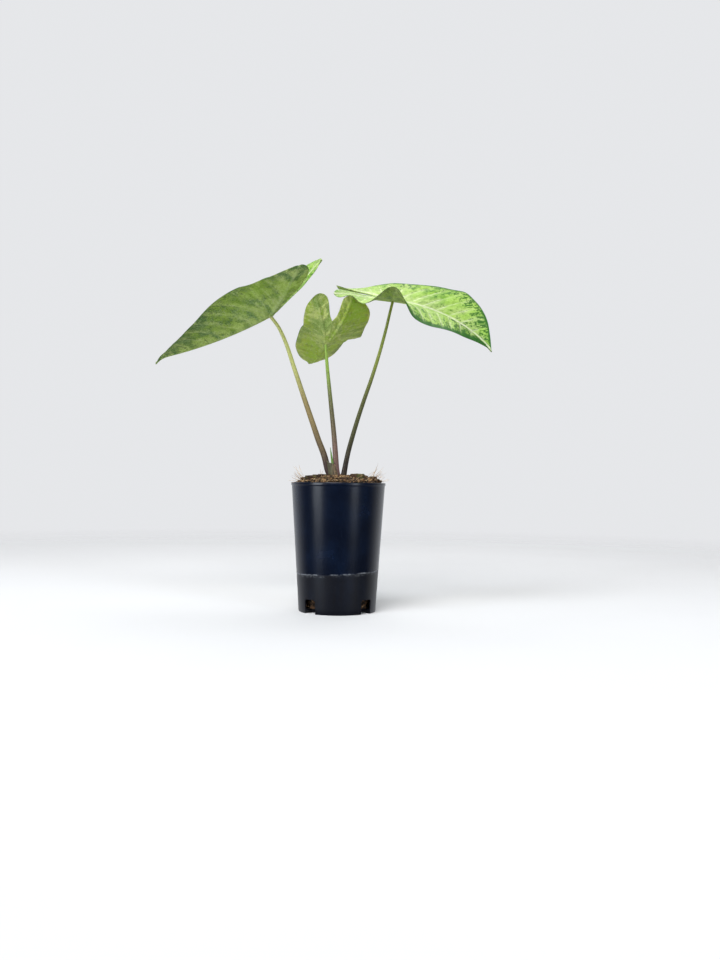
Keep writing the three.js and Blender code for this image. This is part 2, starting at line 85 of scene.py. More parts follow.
# The leaves. yaw is the heading of the midrib at the joint and sway what it turns by to the tip;
# pitch is its slope there, droop what it loses towards the tip and hook what it loses in the tip
# alone; rise bends the lobes up. fold lifts a half of the blade at the joint, at the tip and at the
# lobe's end, and curl bends it on. A wave (side, place, lift, spread) lifts the margin. path is the
# stalk's, and thick its radius at the bottom and at the top.
LEAVES = [
    {
        "name": "left_leaf", "joint": (-52.4, 0, 218.8), "length": 119.9, "width": 0.86,
        "skew": -0.08, "taper": -0.06, "lobe": 0.89, "notch": 0.07, "yaw": 143.5, "sway": 10.5,
        "pitch": -17.1, "droop": -10.1, "hook": 43.6, "rise": 25.6, "roll": -15.4, "twist": -2,
        "left": {"fold": 54.5, "tip": 23.9, "lobe": 23.8, "curl": -0.6},
        "right": {"fold": 63.7, "tip": 42.1, "lobe": 42.5, "curl": -0.53},
        "waves": [
            (1, 51, -1.2, 13), (1, -14, -1.2, 12), (-1, -15, -4.4, 15), (1, 73, -1.5, 13),
        ],
        "path": [
            (-6, 0.5, STAND_LEVEL), (-6.1, 0.5, 100.6), (-7.9, 0.5, 104.3), (-11, 0.5, 115.4),
            (-15.4, 0.5, 126.5), (-18.8, 0.4, 136.2), (-25.8, 0.3, 156.2), (-34.5, 0.2, 181.4),
            (-40.4, 0.1, 198.4), (-46, 0, 210.2),
        ],
        "thick": (2.4, 1.2),
    },
    {
        "name": "middle_leaf", "joint": (-11.4, 18, 201.4), "length": 76.2, "width": 1.04,
        "skew": -0.19, "taper": -0.02, "lobe": 1.07, "notch": 0.28, "yaw": 106.7, "sway": -7.6,
        "pitch": -18.8, "droop": -30.5, "hook": 9.9, "rise": 68.3, "roll": 0, "twist": 9.9,
        "left": {"fold": 36.3, "tip": 7, "lobe": 7.9, "curl": 0.54},
        "right": {"fold": 25.2, "tip": 21.3, "lobe": -2, "curl": 0.44},
        "waves": [
            (1, 22, -4.8, 14), (-1, 38, 9.7, 15), (1, -10, -5.9, 12), (-1, 0, -7.8, 14),
        ],
        "path": [
            (-1.1, 2, STAND_LEVEL), (-1.2, 2, 100.6), (-1.7, 2.3, 104), (-2.7, 3.8, 117),
            (-4.1, 5.7, 132.2), (-6.5, 9.1, 153.2), (-8.6, 12.2, 170.9), (-10.4, 15.4, 187.4),
        ],
        "thick": (2.2, 1.1),
    },
    {
        "name": "right_leaf", "joint": (38.6, -14, 228.9), "length": 86.2, "width": 1.08,
        "skew": -0.13, "taper": -0.2, "lobe": 0.93, "notch": 0.15, "yaw": -6, "sway": -26.6,
        "pitch": -8, "droop": 40.7, "hook": 12.8, "rise": 13.3, "roll": -1.2, "twist": 10.8,
        "left": {"fold": 33.5, "tip": 55.1, "lobe": 8.6, "curl": 0.23},
        "right": {"fold": -17.1, "tip": -9.8, "lobe": -33.6, "curl": -0.36},
        "waves": [
            (-1, 3, 10.2, 17), (-1, -31, 7.3, 9), (1, 76, 5.6, 8), (-1, 62, 2.7, 12),
            (1, 42, 1.8, 6),
        ],
        "path": [
            (3.8, -0.4, STAND_LEVEL), (3.9, -0.4, 100.6), (4.9, -0.8, 107), (7.1, -1.5, 118.1),
            (12.7, -3.3, 138.6), (18.1, -5, 155.6), (23.4, -6.7, 171.2), (28.9, -8.8, 189.3),
            (33.4, -11, 206.3), (36.3, -12.7, 219),
        ],
        "thick": (1.9, 0.95),
    },
]

NEW_LEAF = {
    "path": [(-3.7, -3.1, STAND_LEVEL), (-4.1, -3.1, 105), (-5.3, -2.9, 114), (-6.3, -2.7, 121)],
    "thick": (1.25, 0.15),
    "taper": 1.8,
    "sides": 36,
    "steps": 80,
}
SHEATH = {
    "path": [(-3.9, -3, STAND_LEVEL), (-4, -3, 100.6), (-4.7, -3.3, 104.5), (-6, -3.4, 112)],
    "thick": (3.3, 2.6),
    "reach": 95,
    "slant": 0.18,
    "wall": 0.5,
    "columns": 64,
    "rows": 40,
}

# The hook at a tip: the share of the length at which it sets in, and what is left of it there.
HOOK_FROM, HOOK_REACH = 0.85, 0.15
# How far from the midrib a wave has its full lift.
WAVE_FULL = 30
# How the side veins run: what they lean towards the tip per millimetre, how they arch further out,
# how many fan out behind the joint, and how many would leave a midrib over its length.
VEIN_LEAN = 0.58
VEIN_ARCH = 0.21
FAN_VEINS = 2
SIDE_VEINS = 8
# The flat blade's place in its UV map: the map's side in millimetres, and where the joint lies.
FLAT_SIDE = 250
FLAT_JOINT = (0.35, 0.5)

# How short of its blade a stalk ends.
STALK_SHORT = 0.3
# A fine blade: how thick its sheet, ribs and side veins are, the most it may be, how deep the veins
# lie in its upper side, how high the quilting between them and the ripple at the margin rise, and
# how far from the midrib its fold is smoothed.
BLADE = {
    "sheet": 0.36, "rib_thick": 1.2, "vein_thick": 0.3, "deepest": 2.2,
    "rib_sunk": 0.4, "vein_sunk": 0.22, "quilt": 0.42, "ripple": 0.2, "crease": 2.2,
}
# The fine mix: its gap to the pot's wall, its lowest level, and its set-back foot at the slots.
MIX = {"gap": 0.35, "bottom": 3.4, "foot": 24.6, "foot_top": 11.8}
# What lies loose on the mound: the seed of its draws, its reach and how far off the crown it stays.
# A fibre has so many steps, and one that lies down ends at the rim.
CRUMBS = {"seed": 7, "reach": 32.2, "off": 3}
CHIPS = {"seed": 19, "reach": 31, "off": 6.5}
FIBRES = {"seed": 5, "reach": 31.5, "off": 2.5, "steps": 8, "rim": 32.5}
# The gloss of mix and bark, and what the tide line climbs from left to right.
EARTH_GLOSS = 0.3
TIDE_SLOPE = 0.042

# The stage, in metres. A light has its place, its sides, its share of a power setting and a colour.
PLANT_MIDDLE = (-0.02, 0, 0.15)
LIGHTS = {
    "left window": ((-0.78, -0.65, 0.27), (0.4, 0.62), 1.6, "front_power", (0.86, 0.93, 1.0)),
    "right window": ((0.69, -0.76, 0.27), (0.3, 0.6), 0.8, "front_power", (0.86, 0.93, 1.0)),
    "front high": ((-0.25, -0.85, 1.0), (0.7, 0.7), 4.5, "front_power", (1.0, 1.0, 0.99)),
    "high rear": ((0.1, 0.55, 1.15), (0.8, 0.8), 1.0, "key_power", (1.0, 1.0, 0.98)),
}
STAGE_FLOOR = {"radius": 3, "sides": 96, "fade_from": 0.3, "fade_to": 1.3}
CAMERA = {"place": (0.016, -0.677, 0.0934), "tilt": 90.315, "roll": 0.67, "lens": 34.125}


# Shader maths.


class Formula:
    """A value in a material's nodes, on which Python's arithmetic adds Math nodes."""

    def __init__(self, recipe, socket):
        self.recipe = recipe
        self.socket = socket

    def math(self, operation, *others):
        return self.recipe.math(operation, self, *others)

    def __add__(self, other):
        return self.math("ADD", other)

    def __sub__(self, other):
        return self.math("SUBTRACT", other)

    def __rsub__(self, other):
        return self.recipe.math("SUBTRACT", other, self)

    def __mul__(self, other):
        return self.math("MULTIPLY", other)

    def __truediv__(self, other):
        return self.math("DIVIDE", other)

    def __pow__(self, other):
        return self.math("POWER", other)

    def __abs__(self):
        return self.math("ABSOLUTE")

    __radd__ = __add__
    __rmul__ = __mul__


class Recipe:
    """A material's or a world's nodes. add makes any node and gives its output as a Formula."""

    def __init__(self, name, library=None):
        self.owner = (bpy.data.materials if library is None else library).new(name)
        self.owner.use_nodes = True
        self.tree = self.owner.node_tree
        self.tree.nodes.clear()

    def add(self, kind, settings=None, inputs=None, output=0):
        node = self.tree.nodes.new(kind)
        for key, value in (settings or {}).items():
            setattr(node, key, value)
        for key, value in (inputs or {}).items():
            self.fill(node.inputs[key], value)
        return Formula(self, node.outputs[output]) if node.outputs else None

    def fill(self, socket, value):
        if isinstance(value, Formula):
            self.tree.links.new(value.socket, socket)
        elif socket.type == "RGBA":
            socket.default_value = (*value[:3], 1)
        else:
            socket.default_value = value

    def math(self, operation, *values):
        return self.add("ShaderNodeMath", {"operation": operation}, dict(enumerate(values)))

    def split(self, vector):
        first = self.add("ShaderNodeSeparateXYZ", None, {0: vector})
        return [Formula(self, socket) for socket in first.socket.node.outputs]

    def join(self, x, y, z):
        return self.add("ShaderNodeCombineXYZ", None, {0: x, 1: y, 2: z})

    def place(self):
        return self.add("ShaderNodeTexCoord", output="Object")

    def noise(self, place, scale, detail=4, roughness=0.55, distortion=0.0):
        inputs = {"Vector": place, "Scale": scale, "Detail": detail}
        inputs.update({"Roughness": roughness, "Distortion": distortion})
        return self.add("ShaderNodeTexNoise", None, inputs)

    def cells(self, place, scale, feature="F1", output=0):
        inputs = {"Vector": place, "Scale": scale}
        return self.add("ShaderNodeTexVoronoi", {"feature": feature}, inputs, output)

    def coated(self, colour, *coats):
        """Lays coats over a colour in turn, each a colour and how much of it shows."""
        for coat, share in coats:
            inputs = {0: share, 6: colour, 7: coat}
            colour = self.add("ShaderNodeMix", {"data_type": "RGBA"}, inputs, 2)
        return colour

    def bump(self, height, distance, strength):
        inputs = {"Height": height, "Distance": distance, "Strength": strength}
        return self.add("ShaderNodeBump", None, inputs)

    def mixed(self, share, first, second):
        return self.add("ShaderNodeMixShader", None, {0: share, 1: first, 2: second})

    def finish(self, colour, rough, normal, gloss=0.5, glow=None, glow_share=0.0):
        """Ends in a Principled shader, mixed with light that shines through if glow is a colour."""
        inputs = {"Base Color": colour, "Roughness": rough, "Normal": normal}
        inputs["Specular IOR Level"] = gloss
        shader = self.add("ShaderNodeBsdfPrincipled", None, inputs)
        if glow is not None:
            through = self.add("ShaderNodeBsdfTranslucent", None, {"Color": glow, "Normal": normal})
            shader = self.mixed(glow_share, shader, through)
        self.add("ShaderNodeOutputMaterial", None, {0: shader})
        return self.owner


# These work on plain numbers and on formulas alike, so that relief and colours share one rule.


def least(a, b):
    if isinstance(a, Formula):
        return a.math("MINIMUM", b)
    return b.math("MINIMUM", a) if isinstance(b, Formula) else min(a, b)


def most(a, b):
    if isinstance(a, Formula):
        return a.math("MAXIMUM", b)
    return b.math("MAXIMUM", a) if isinstance(b, Formula) else max(a, b)


def wave(value):
    return value.math("SINE") if isinstance(value, Formula) else math.sin(value)


def bell(distance, width):
    power = -1 * (distance / width) ** 2
    return power.math("EXPONENT") if isinstance(power, Formula) else math.exp(power)


def off_whole(value):
    """How far a value is from the nearest whole number."""
    if isinstance(value, Formula):
        return value.math("PINGPONG", 0.5)
    return abs(value - round(value))


def rising(value, low, high):
    """0 below low, 1 above high and smooth between, or falling where high is the lower one."""
    if isinstance(value, Formula):
        inputs = {0: value, 1: low, 2: high, 3: 0.0, 4: 1.0}
        return value.recipe.add("ShaderNodeMapRange", {"interpolation_type": "SMOOTHSTEP"}, inputs)
    share = min(1.0, max(0.0, (value - low) / (high - low)))
    return share * share * (3 - 2 * share)


# Curves and blades.


def smooth_path(points, samples=240):
    """A centripetal Catmull-Rom curve through the points, as a function of its length's share."""
    points = [Vector(p) for p in points]
    ends = [2 * points[0] - points[1], *points, 2 * points[-1] - points[-2]]

    def at(t):
        cell = min(int(t), len(points) - 2)
        a, b, c, d = ends[cell : cell + 4]
        ab, bc, cd = ((q - p).length ** 0.5 for p, q in ((a, b), (b, c), (c, d)))
        leave = ((b - a) / ab - (c - a) / (ab + bc) + (c - b) / bc) * bc
        reach = ((c - b) / bc - (d - b) / (bc + cd) + (d - c) / cd) * bc
        s = t - cell
        return (
            b * (2 * s**3 - 3 * s**2 + 1)
            + leave * (s**3 - 2 * s**2 + s)
            + c * (3 * s**2 - 2 * s**3)
            + reach * (s**3 - s**2)
        )

    line = [at((len(points) - 1) * i / samples) for i in range(samples + 1)]
    lengths = [0.0]
    for p, q in zip(line, line[1:]):
        lengths.append(lengths[-1] + (q - p).length)

    def along(share):
        goal = min(1.0, max(0.0, share)) * lengths[-1]
        cell = next(i for i in range(samples) if lengths[i + 1] >= goal - 1e-9)
        part = (goal - lengths[cell]) / (lengths[cell + 1] - lengths[cell])
        point = line[cell].lerp(line[cell + 1], part)
        tangent = (line[min(cell + 2, samples)] - line[max(cell - 1, 0)]).normalized()
        return point, tangent

    return along


def beside(tangent):
    """The directions to the right of and in front of a curve that runs upwards."""
    right = tangent.cross(Vector((0, -1, 0))).normalized()
    return right, right.cross(tangent)


def spine_slope(leaf, x):
    share = x / leaf["length"]
    if x < 0:
        return leaf["pitch"] + 2 * leaf["rise"] * share
    hooked = max(0, (share - HOOK_FROM) / HOOK_REACH) ** 2
    return leaf["pitch"] - leaf["droop"] * share - leaf["hook"] * hooked


def spine_frame(leaf, x):
    slope = math.radians(spine_slope(leaf, x))
    heading = math.radians(leaf["yaw"] + leaf["sway"] * x / leaf["length"])
    ahead = Vector((math.cos(heading), math.sin(heading), 0))
    tangent = ahead * math.cos(slope) + Vector((0, 0, math.sin(slope)))
    level = Vector((-ahead.y, ahead.x, 0))
    return tangent, level, tangent.cross(level)


def spine_table(leaf):
    """Points of the midrib line at every millimetre, from behind the lobes to the tip."""
    table = {0: Vector(leaf["joint"])}
    for i in range(1, math.ceil(leaf["length"]) + 3):
        table[i] = table[i - 1] + spine_frame(leaf, i - 0.5)[0]
    for i in range(-1, -math.ceil(0.75 * leaf["length"]) - 1, -1):
        table[i] = table[i + 1] - spine_frame(leaf, i + 0.5)[0]
    return table


for leaf in LEAVES:
    lobe = HALF_OUTLINE[LOBE_TIP]
    heading = Vector((lobe[0] * leaf["lobe"], lobe[1] * leaf["width"])).normalized()
    leaf["lobe_heading"] = tuple(heading)
    leaf["spine"] = spine_table(leaf)


def blade_point(leaf, x, y):
    """Bends flat blade coordinates, x along the midrib and y across, into the leaf's place."""
    cell = math.floor(x)
    point = leaf["spine"][cell].lerp(leaf["spine"][cell + 1], x - cell)
    half = leaf["left"] if y >= 0 else leaf["right"]
    to_tip = rising(x, 0, leaf["length"])
    to_lobe = rising(-x, 0, 0.5 * leaf["length"])
    turn = half["fold"] + (half["tip"] - half["fold"]) * to_tip
    turn += (half["lobe"] - half["fold"]) * to_lobe
    fold, curl = math.radians(turn), math.radians(half["curl"])
    end = fold + curl * abs(y)
    side = 1 if y >= 0 else -1
    across = side * (math.sin(end) - math.sin(fold)) / curl
    lift = (math.cos(fold) - math.cos(end)) / curl
    for wavy_side, at, height, spread in leaf["waves"]:
        if wavy_side * y > 0:
            lift += height * bell(x - at, spread) * (y / WAVE_FULL) ** 2
    _, level, upward = spine_frame(leaf, x)
    roll = math.radians(leaf["roll"] + leaf["twist"] * to_tip)
    point += level * (across * math.cos(roll) - lift * math.sin(roll))
    return point + upward * (across * math.sin(roll) + lift * math.cos(roll))


def upper_normal(leaf, x, y, step=0.5):
    along = blade_point(leaf, x + step, y) - blade_point(leaf, x - step, y)
    across = blade_point(leaf, x, y + step) - blade_point(leaf, x, y - step)
    return along.cross(across).normalized()


def spline_point(points, t):
    """A uniform Catmull-Rom curve in the plane, at t in whole points."""
    last = len(points) - 1
    cell = min(int(t), last)
    s = t - cell
    a, b = points[max(cell - 1, 0)], points[cell]
    c, d = points[min(cell + 1, last)], points[min(cell + 2, last)]
    place = []
    for p, q, r, u in zip(a, b, c, d):
        leave, reach = (r - p) / 2, (u - q) / 2
        cubic = (2 * q - 2 * r + leave + reach) * s**3 + (3 * r - 3 * q - 2 * leave - reach) * s**2
        place.append(cubic + leave * s + q)
    return place


def half_columns(leaf, midrib_steps, lobe_steps):
    """Half of a flat blade as columns from a rib to the margin: the midrib's, then the lobe's."""
    inner = [(-(leaf["notch"] + LOBE_ROOT[0]) / 2, LOBE_ROOT[1]), (-leaf["notch"], 0)]
    outline = HALF_OUTLINE + inner
    joint, leaf_tip, lobe_tip = (0, 0), (1, 0), outline[LOBE_TIP]
    legs = (
        (midrib_steps, 0, SHOULDER, leaf_tip, joint),
        (lobe_steps, SHOULDER, LOBE_TIP, joint, lobe_tip),
        (lobe_steps, LOBE_TIP, len(outline) - 1, lobe_tip, joint),
    )
    columns = [(spline_point(outline, 0), leaf_tip)]
    for steps, start, end, rib_start, rib_end in legs:
        for i in range(1, steps + 1):
            share = i / steps
            rib = [a * (1 - share) + b * share for a, b in zip(rib_start, rib_end)]
            columns.append((spline_point(outline, start + (end - start) * share), rib))
    return columns


def flat_point(leaf, place, side):
    x, y = place
    breadth = leaf["width"] * (1 + side * leaf["skew"]) * (1 - leaf["taper"] * max(0, x))
    reach = leaf["lobe"] if x < 0 else 1
    return x * reach * leaf["length"], side * y * breadth * leaf["length"]


def veins(leaf, x, y):
    """At a flat point: how far the nearest main rib and side vein are, in millimetres, and the
    course number, which is whole on each side vein."""
    aside = abs(y)
    rib_x, rib_y = leaf["lobe_heading"]
    out = x * rib_x + aside * rib_y
    off = abs(x * rib_y - aside * rib_x)
    rib = least(most(aside, -1 * x), most(off, -1 * out))
    half_width = HALF_WIDTH * leaf["width"] * leaf["length"]
    drift = 0.9 * wave(0.09 * y + 0.06 * x + leaf["length"])
    front = x + drift - VEIN_LEAN * aside - VEIN_ARCH / half_width * aside * aside
    back = out - 0.75 * off
    spacing = leaf["length"] / SIDE_VEINS
    before, behind = most(-1 * front, 0.0), most(-1 * back, 0.0)
    course = (
        most(front, 0.0) / spacing
        - FAN_VEINS * before / (before + behind + 0.01)
        - most(back, 0.0) / (0.8 * spacing)
    )
    reach = (x * x + y * y) ** 0.5
    side_vein = off_whole(course) * least(0.85 * spacing, 0.4 * reach + 0.4)
    return rib, side_vein, course


# Building and finishing pieces.


def placed(name, data):
    """A new object in the scene."""
    made = bpy.data.objects.new(name, data)
    bpy.context.scene.collection.objects.link(made)
    return made


def modify(piece, name, kind, **settings):
    """Gives a piece a modifier with these settings."""
    modifier = piece.modifiers.new(name, kind)
    for key, value in settings.items():
        setattr(modifier, key, value)


def mesh_of(bm, name, sharp=None):
    """Turns a bmesh into a smooth mesh whose edges stay sharp past an angle, where one is given."""
    for face in bm.faces:
        face.smooth = True
    mesh = bpy.data.meshes.new(name)
    bm.to_mesh(mesh)
    bm.free()
    if sharp is not None:
        mesh.set_sharp_from_angle(angle=math.radians(sharp))
    return mesh


def hand_over(bm, name, materials, nodes=(), sharp=None):
    """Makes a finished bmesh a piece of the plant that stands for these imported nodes."""
    piece = placed(name, mesh_of(bm, name, sharp))
    for material in materials:
        piece.data.materials.append(material)
    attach(piece, "root")
    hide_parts(*nodes)
    return piece


def merged(bm):
    bmesh.ops.remove_doubles(bm, verts=bm.verts, dist=1e-6)
    bmesh.ops.recalc_face_normals(bm, faces=bm.faces)


def sweep(path, sides, steps, radius):
    """A closed round piece along a path. radius gives it from the length's share and the angle."""
    along = smooth_path(path)
    bm = bmesh.new()
    bmesh.ops.create_cone(
        bm, cap_ends=True, cap_tris=True, segments=sides, radius1=1, radius2=1, depth=1
    )
    upright = [e for e in bm.edges if abs(e.verts[0].co.z - e.verts[1].co.z) > 0.5]
    bmesh.ops.subdivide_edges(bm, edges=upright, cuts=steps - 1, use_grid_fill=True)
    places = {}
    for vert in bm.verts:
        share = round((vert.co.z + 0.5) * steps)
        if share not in places:
            point, tangent = along(share / steps)
            places[share] = (point, *beside(tangent))
        point, right, front = places[share]
        wide = radius(share / steps, math.atan2(vert.co.y, vert.co.x))
        vert.co = (point + right * (vert.co.x * wide) + front * (vert.co.y * wide)) * MM
    merged(bm)
    return bm


def mound_level(x, y):
    share = min(1, math.hypot(x, y) / MOUND["radius"])
    uneven = math.sin(0.31 * x + 1.3) * math.cos(0.27 * y - 0.6)
    uneven += 0.6 * math.sin(0.53 * y + 0.47 * x)
    mound = MOUND["height"] * (1 - share ** MOUND["power"])
    return MOUND["edge"] + mound + MOUND["lean"] * x + MOUND["uneven"] * uneven * (1 - share**4)


def mix_level(x, y):
    """The mound with its lumps and grains."""
    place = Vector((x, y, 0))
    lumps = 0.8 * noise.noise(place / 5.5) + 0.5 * noise.noise(place / 2.4 + Vector((7, 3, 1)))
    near = noise.voronoi(place / 3.1)[0]
    grains = 0.8 * (0.45 - near[0]) + 0.35 * (noise.voronoi(place / 1.3)[0][1] - 0.5)
    return mound_level(x, y) + lumps + grains


def outer_radius(z):
    return POT["base"] + (POT["top"] - POT["base"]) / POT["height"] * z


# The pot.


def pot_cutter(number):
    """One drain slot's cutter: a block with a round-shouldered top, across the pot's wall."""
    bm = bmesh.new()
    bmesh.ops.create_cube(bm, size=1)
    size = Vector((SLOT["width"], 2 * SLOT["reach"], SLOT["height"] + 1)) * MM
    bmesh.ops.scale(bm, vec=size, verts=bm.verts)
    middle = Vector((0, -POT["base"], (SLOT["height"] - 1) / 2)) * MM
    bmesh.ops.translate(bm, vec=middle, verts=bm.verts)
    top = SLOT["height"] * MM - 1e-5
    high = [e for e in bm.edges if all(v.co.z > top for v in e.verts)]
    bmesh.ops.bevel(
        bm,
        geom=[e for e in high if abs(e.verts[0].co.y - e.verts[1].co.y) > 0.001],
        offset=SLOT["round"] * MM,
        affect="EDGES",
        segments=6,
        profile=0.5,
        material=-1,
    )
    turn = math.radians(45 + SLOT["turn"] + 360 / SLOT["count"] * number)
    bmesh.ops.rotate(bm, matrix=Matrix.Rotation(turn, 3, "Z"), verts=bm.verts)
    return placed("slot_cutter", mesh_of(bm, "slot_cutter"))


def cut_out(piece, cutters):
    """Cuts the cutters out of a piece's mesh and drops them."""
    for cutter in cutters:
        modify(piece, cutter.name, "BOOLEAN", operation="DIFFERENCE", solver="EXACT", object=cutter)
    ready = piece.evaluated_get(bpy.context.evaluated_depsgraph_get())
    mesh = bpy.data.meshes.new_from_object(ready)
    piece.modifiers.clear()
    old, piece.data = piece.data, mesh
    bpy.data.meshes.remove(old)
    for cutter in cutters:
        bpy.data.objects.remove(cutter)


def pot_bmesh(segments):
    wall, turn_in = POT["wall"], POT["round"]
    ring_inner = POT["base"] - FLOOR["ring"]
    floor_top = FLOOR["raise"] + FLOOR["thickness"]
    lip_bottom = POT["height"] - POT["lip"]
    lip = POT["top"] + POT["proud"]
    profile = [
        (0, 0),
        (FLOOR["pad"], 0),
        (FLOOR["pad"] + FLOOR["slope"], FLOOR["raise"]),
        (ring_inner - FLOOR["slope"], FLOOR["raise"]),
        (ring_inner, 0),
        (POT["base"] - turn_in, 0),
        (POT["base"] - 0.3 * turn_in, 0.15 * turn_in),
        (outer_radius(turn_in), turn_in),
    ]
    profile += [(outer_radius(z), z) for z in (4, 8, 12, 14, 20, 28, 40, 55, 70, 84, 91, 92.2)]
    profile += [
        (outer_radius(lip_bottom) - 0.02, lip_bottom - 0.25),
        (outer_radius(lip_bottom) + 0.1, lip_bottom),
        (lip, lip_bottom + 0.35),
        (lip, POT["height"] - turn_in),
        (lip - 0.15 * turn_in, POT["height"] - 0.4 * turn_in),
        (lip - 0.45 * turn_in, POT["height"] - 0.1 * turn_in),
        (lip - turn_in, POT["height"]),
        (POT["top"] - wall + turn_in, POT["height"]),
        (outer_radius(POT["height"]) - wall + 0.15 * turn_in, POT["height"] - 0.25 * turn_in),
        (outer_radius(POT["height"] - turn_in) - wall, POT["height"] - turn_in),
    ]
    profile += [(outer_radius(z) - wall, z) for z in (70, 40, 14, floor_top)]
    profile += [
        (FLOOR["pad"] + FLOOR["slope"] - FLOOR["thickness"] / 2, floor_top),
        (FLOOR["pad"] - FLOOR["thickness"] / 2, FLOOR["thickness"]),
        (0, FLOOR["thickness"]),
    ]
    bm = bmesh.new()
    verts = [bm.verts.new((radius * MM, 0, z * MM)) for radius, z in profile]
    edges = [bm.edges.new(pair) for pair in zip(verts, verts[1:])]
    turned = {"cent": (0, 0, 0), "axis": (0, 0, 1), "angle": math.tau, "steps": segments}
    bmesh.ops.spin(bm, geom=verts + edges, use_merge=True, **turned)
    merged(bm)
    return bm


def pot_material(settings):
    """Dark moulded plastic: glossy above a crinkled tide line, greyed by a dull film below it."""
    recipe = Recipe("dark pot plastic")
    place = recipe.place()
    x, y, z = recipe.split(place)
    ripple = 0.5 * (recipe.noise(place, 900, 3) - 0.5) + 1.1 * (recipe.noise(place, 160, 2) - 0.5)
    above = z / MM - (settings.tide_height / MM + TIDE_SLOPE * (x / MM) + ripple)
    below = rising(above, 0.4, -0.6)
    gaps = rising(recipe.noise(place, 70, 2), 0.36, 0.5)
    line = bell(above, 0.42) * rising(recipe.noise(place, 380, 4), 0.36, 0.6) * gaps
    faint = bell(above + 1.2, 0.6) * rising(recipe.noise(place, 620, 3), 0.47, 0.66)
    crust = least(line + 0.4 * faint, 1.0)
    film = 0.55 + 0.9 * (recipe.noise(recipe.join(x, y, z * 0.12), 240, 5, 0.6) - 0.5)
    dust = rising(recipe.noise(place, 2600, 2, 0.4), 0.69, 0.78)
    cloud = recipe.noise(place, 45, 4)
    colour = recipe.coated(
        settings.pot_colour,
        ((0.0015, 0.008, 0.028), rising(cloud, 0.42, 0.8)),
        (settings.film_colour, least(most(film * below, 0.0), 1.0)),
        ((0.12, 0.14, 0.18), dust * (0.16 + 0.3 * below)),
        ((0.26, 0.28, 0.31), 0.7 * crust),
    )
    scratches = recipe.noise(recipe.join(x * 0.25, y * 0.25, z * 3.2), 900, 3, 0.7)
    relief = 0.25 * recipe.noise(place, 700, 3) + 1.2 * crust + 0.2 * scratches
    rough = 0.21 + 0.1 * cloud + 0.14 * below + 0.25 * crust + 0.12 * dust
    return recipe.finish(colour, rough, recipe.bump(relief, 0.00009, 0.55), 0.42)


# The potting mix.


def mix_bmesh(cells):
    """The mix: a round grid for the mound, its edge drawn down the pot's inside and closed."""
    bm = bmesh.new()
    bmesh.ops.create_grid(bm, x_segments=cells, y_segments=cells, size=1)
    rim = outer_radius(MOUND["edge"]) - POT["wall"] - MIX["gap"]
    for vert in bm.verts:
        u, v = vert.co.x, vert.co.y
        x = rim * u * math.sqrt(1 - v * v / 2)
        y = rim * v * math.sqrt(1 - u * u / 2)
        level = mix_level(x, y)
        to_edge = rising(math.hypot(x, y), rim - 2.5, rim)
        vert.co = Vector((x, y, level + (MOUND["edge"] - 0.4 - level) * to_edge)) * MM
    rings = [(z, outer_radius(z) - POT["wall"] - MIX["gap"]) for z in range(91, 12, -3)]
    rings.append((12.2, 26))
    levels = (MIX["foot_top"], 10.6, 9.4, 8.2, 7, 5.8, 4.6, MIX["bottom"])
    rings += [(z, MIX["foot"]) for z in levels]
    edge = [e for e in bm.edges if e.is_boundary]
    for z, radius in rings:
        pulled = bmesh.ops.extrude_edge_only(bm, edges=edge)["geom"]
        edge = [g for g in pulled if isinstance(g, bmesh.types.BMEdge)]
        for vert in {v for e in edge for v in e.verts}:
            angle = math.atan2(vert.co.y, vert.co.x)
            grain = 0.0
            if MIX["bottom"] < z < 12:
                place = Vector((20 * math.cos(angle), 20 * math.sin(angle), z))
                grain = 1.6 * noise.noise(place / 2.6) + 0.8 * noise.noise(place / 0.9)
            wide = (radius + grain) * MM
            vert.co = Vector((wide * math.cos(angle), wide * math.sin(angle), z * MM))
    bmesh.ops.holes_fill(bm, edges=edge, sides=len(edge))
    merged(bm)
    return bm


def earth_material(name, dark, brown, straw, straw_share, fine=1.0):
    """Coarse organic matter: dark crumbs, brown husk and pale fibrous bits, with painted shade in
    the gaps between grains.
    """
    recipe = Recipe(name)
    place = recipe.place()
    clumps = recipe.noise(place, 320 * fine, 5, 0.62)
    grains = recipe.cells(place, 1100 * fine)
    tone, second, _ = recipe.split(recipe.cells(place, 520 * fine, output="Color"))
    strands = recipe.noise(place, 1500 * fine, 3, 0.5, 2.2)
    bits = rising(tone, 1 - straw_share, 1 - 0.6 * straw_share) * rising(strands, 0.45, 0.6)
    colour = recipe.coated(
        dark,
        (brown, rising(clumps + 0.35 * (tone - 0.5), 0.4, 0.66)),
        (straw, bits),
        # Painted shade: a near-black coat in the gaps between grains, where the relief sinks.
        ((0.008, 0.005, 0.003), 0.85 * rising(grains, 0.3, 0.7) * second),
    )
    normal = recipe.bump(0.6 * clumps + 0.5 * (1 - grains) + 0.35 * strands, 0.0004, 0.9)
    return recipe.finish(colour, 0.82 + 0.15 * clumps, normal, EARTH_GLOSS)


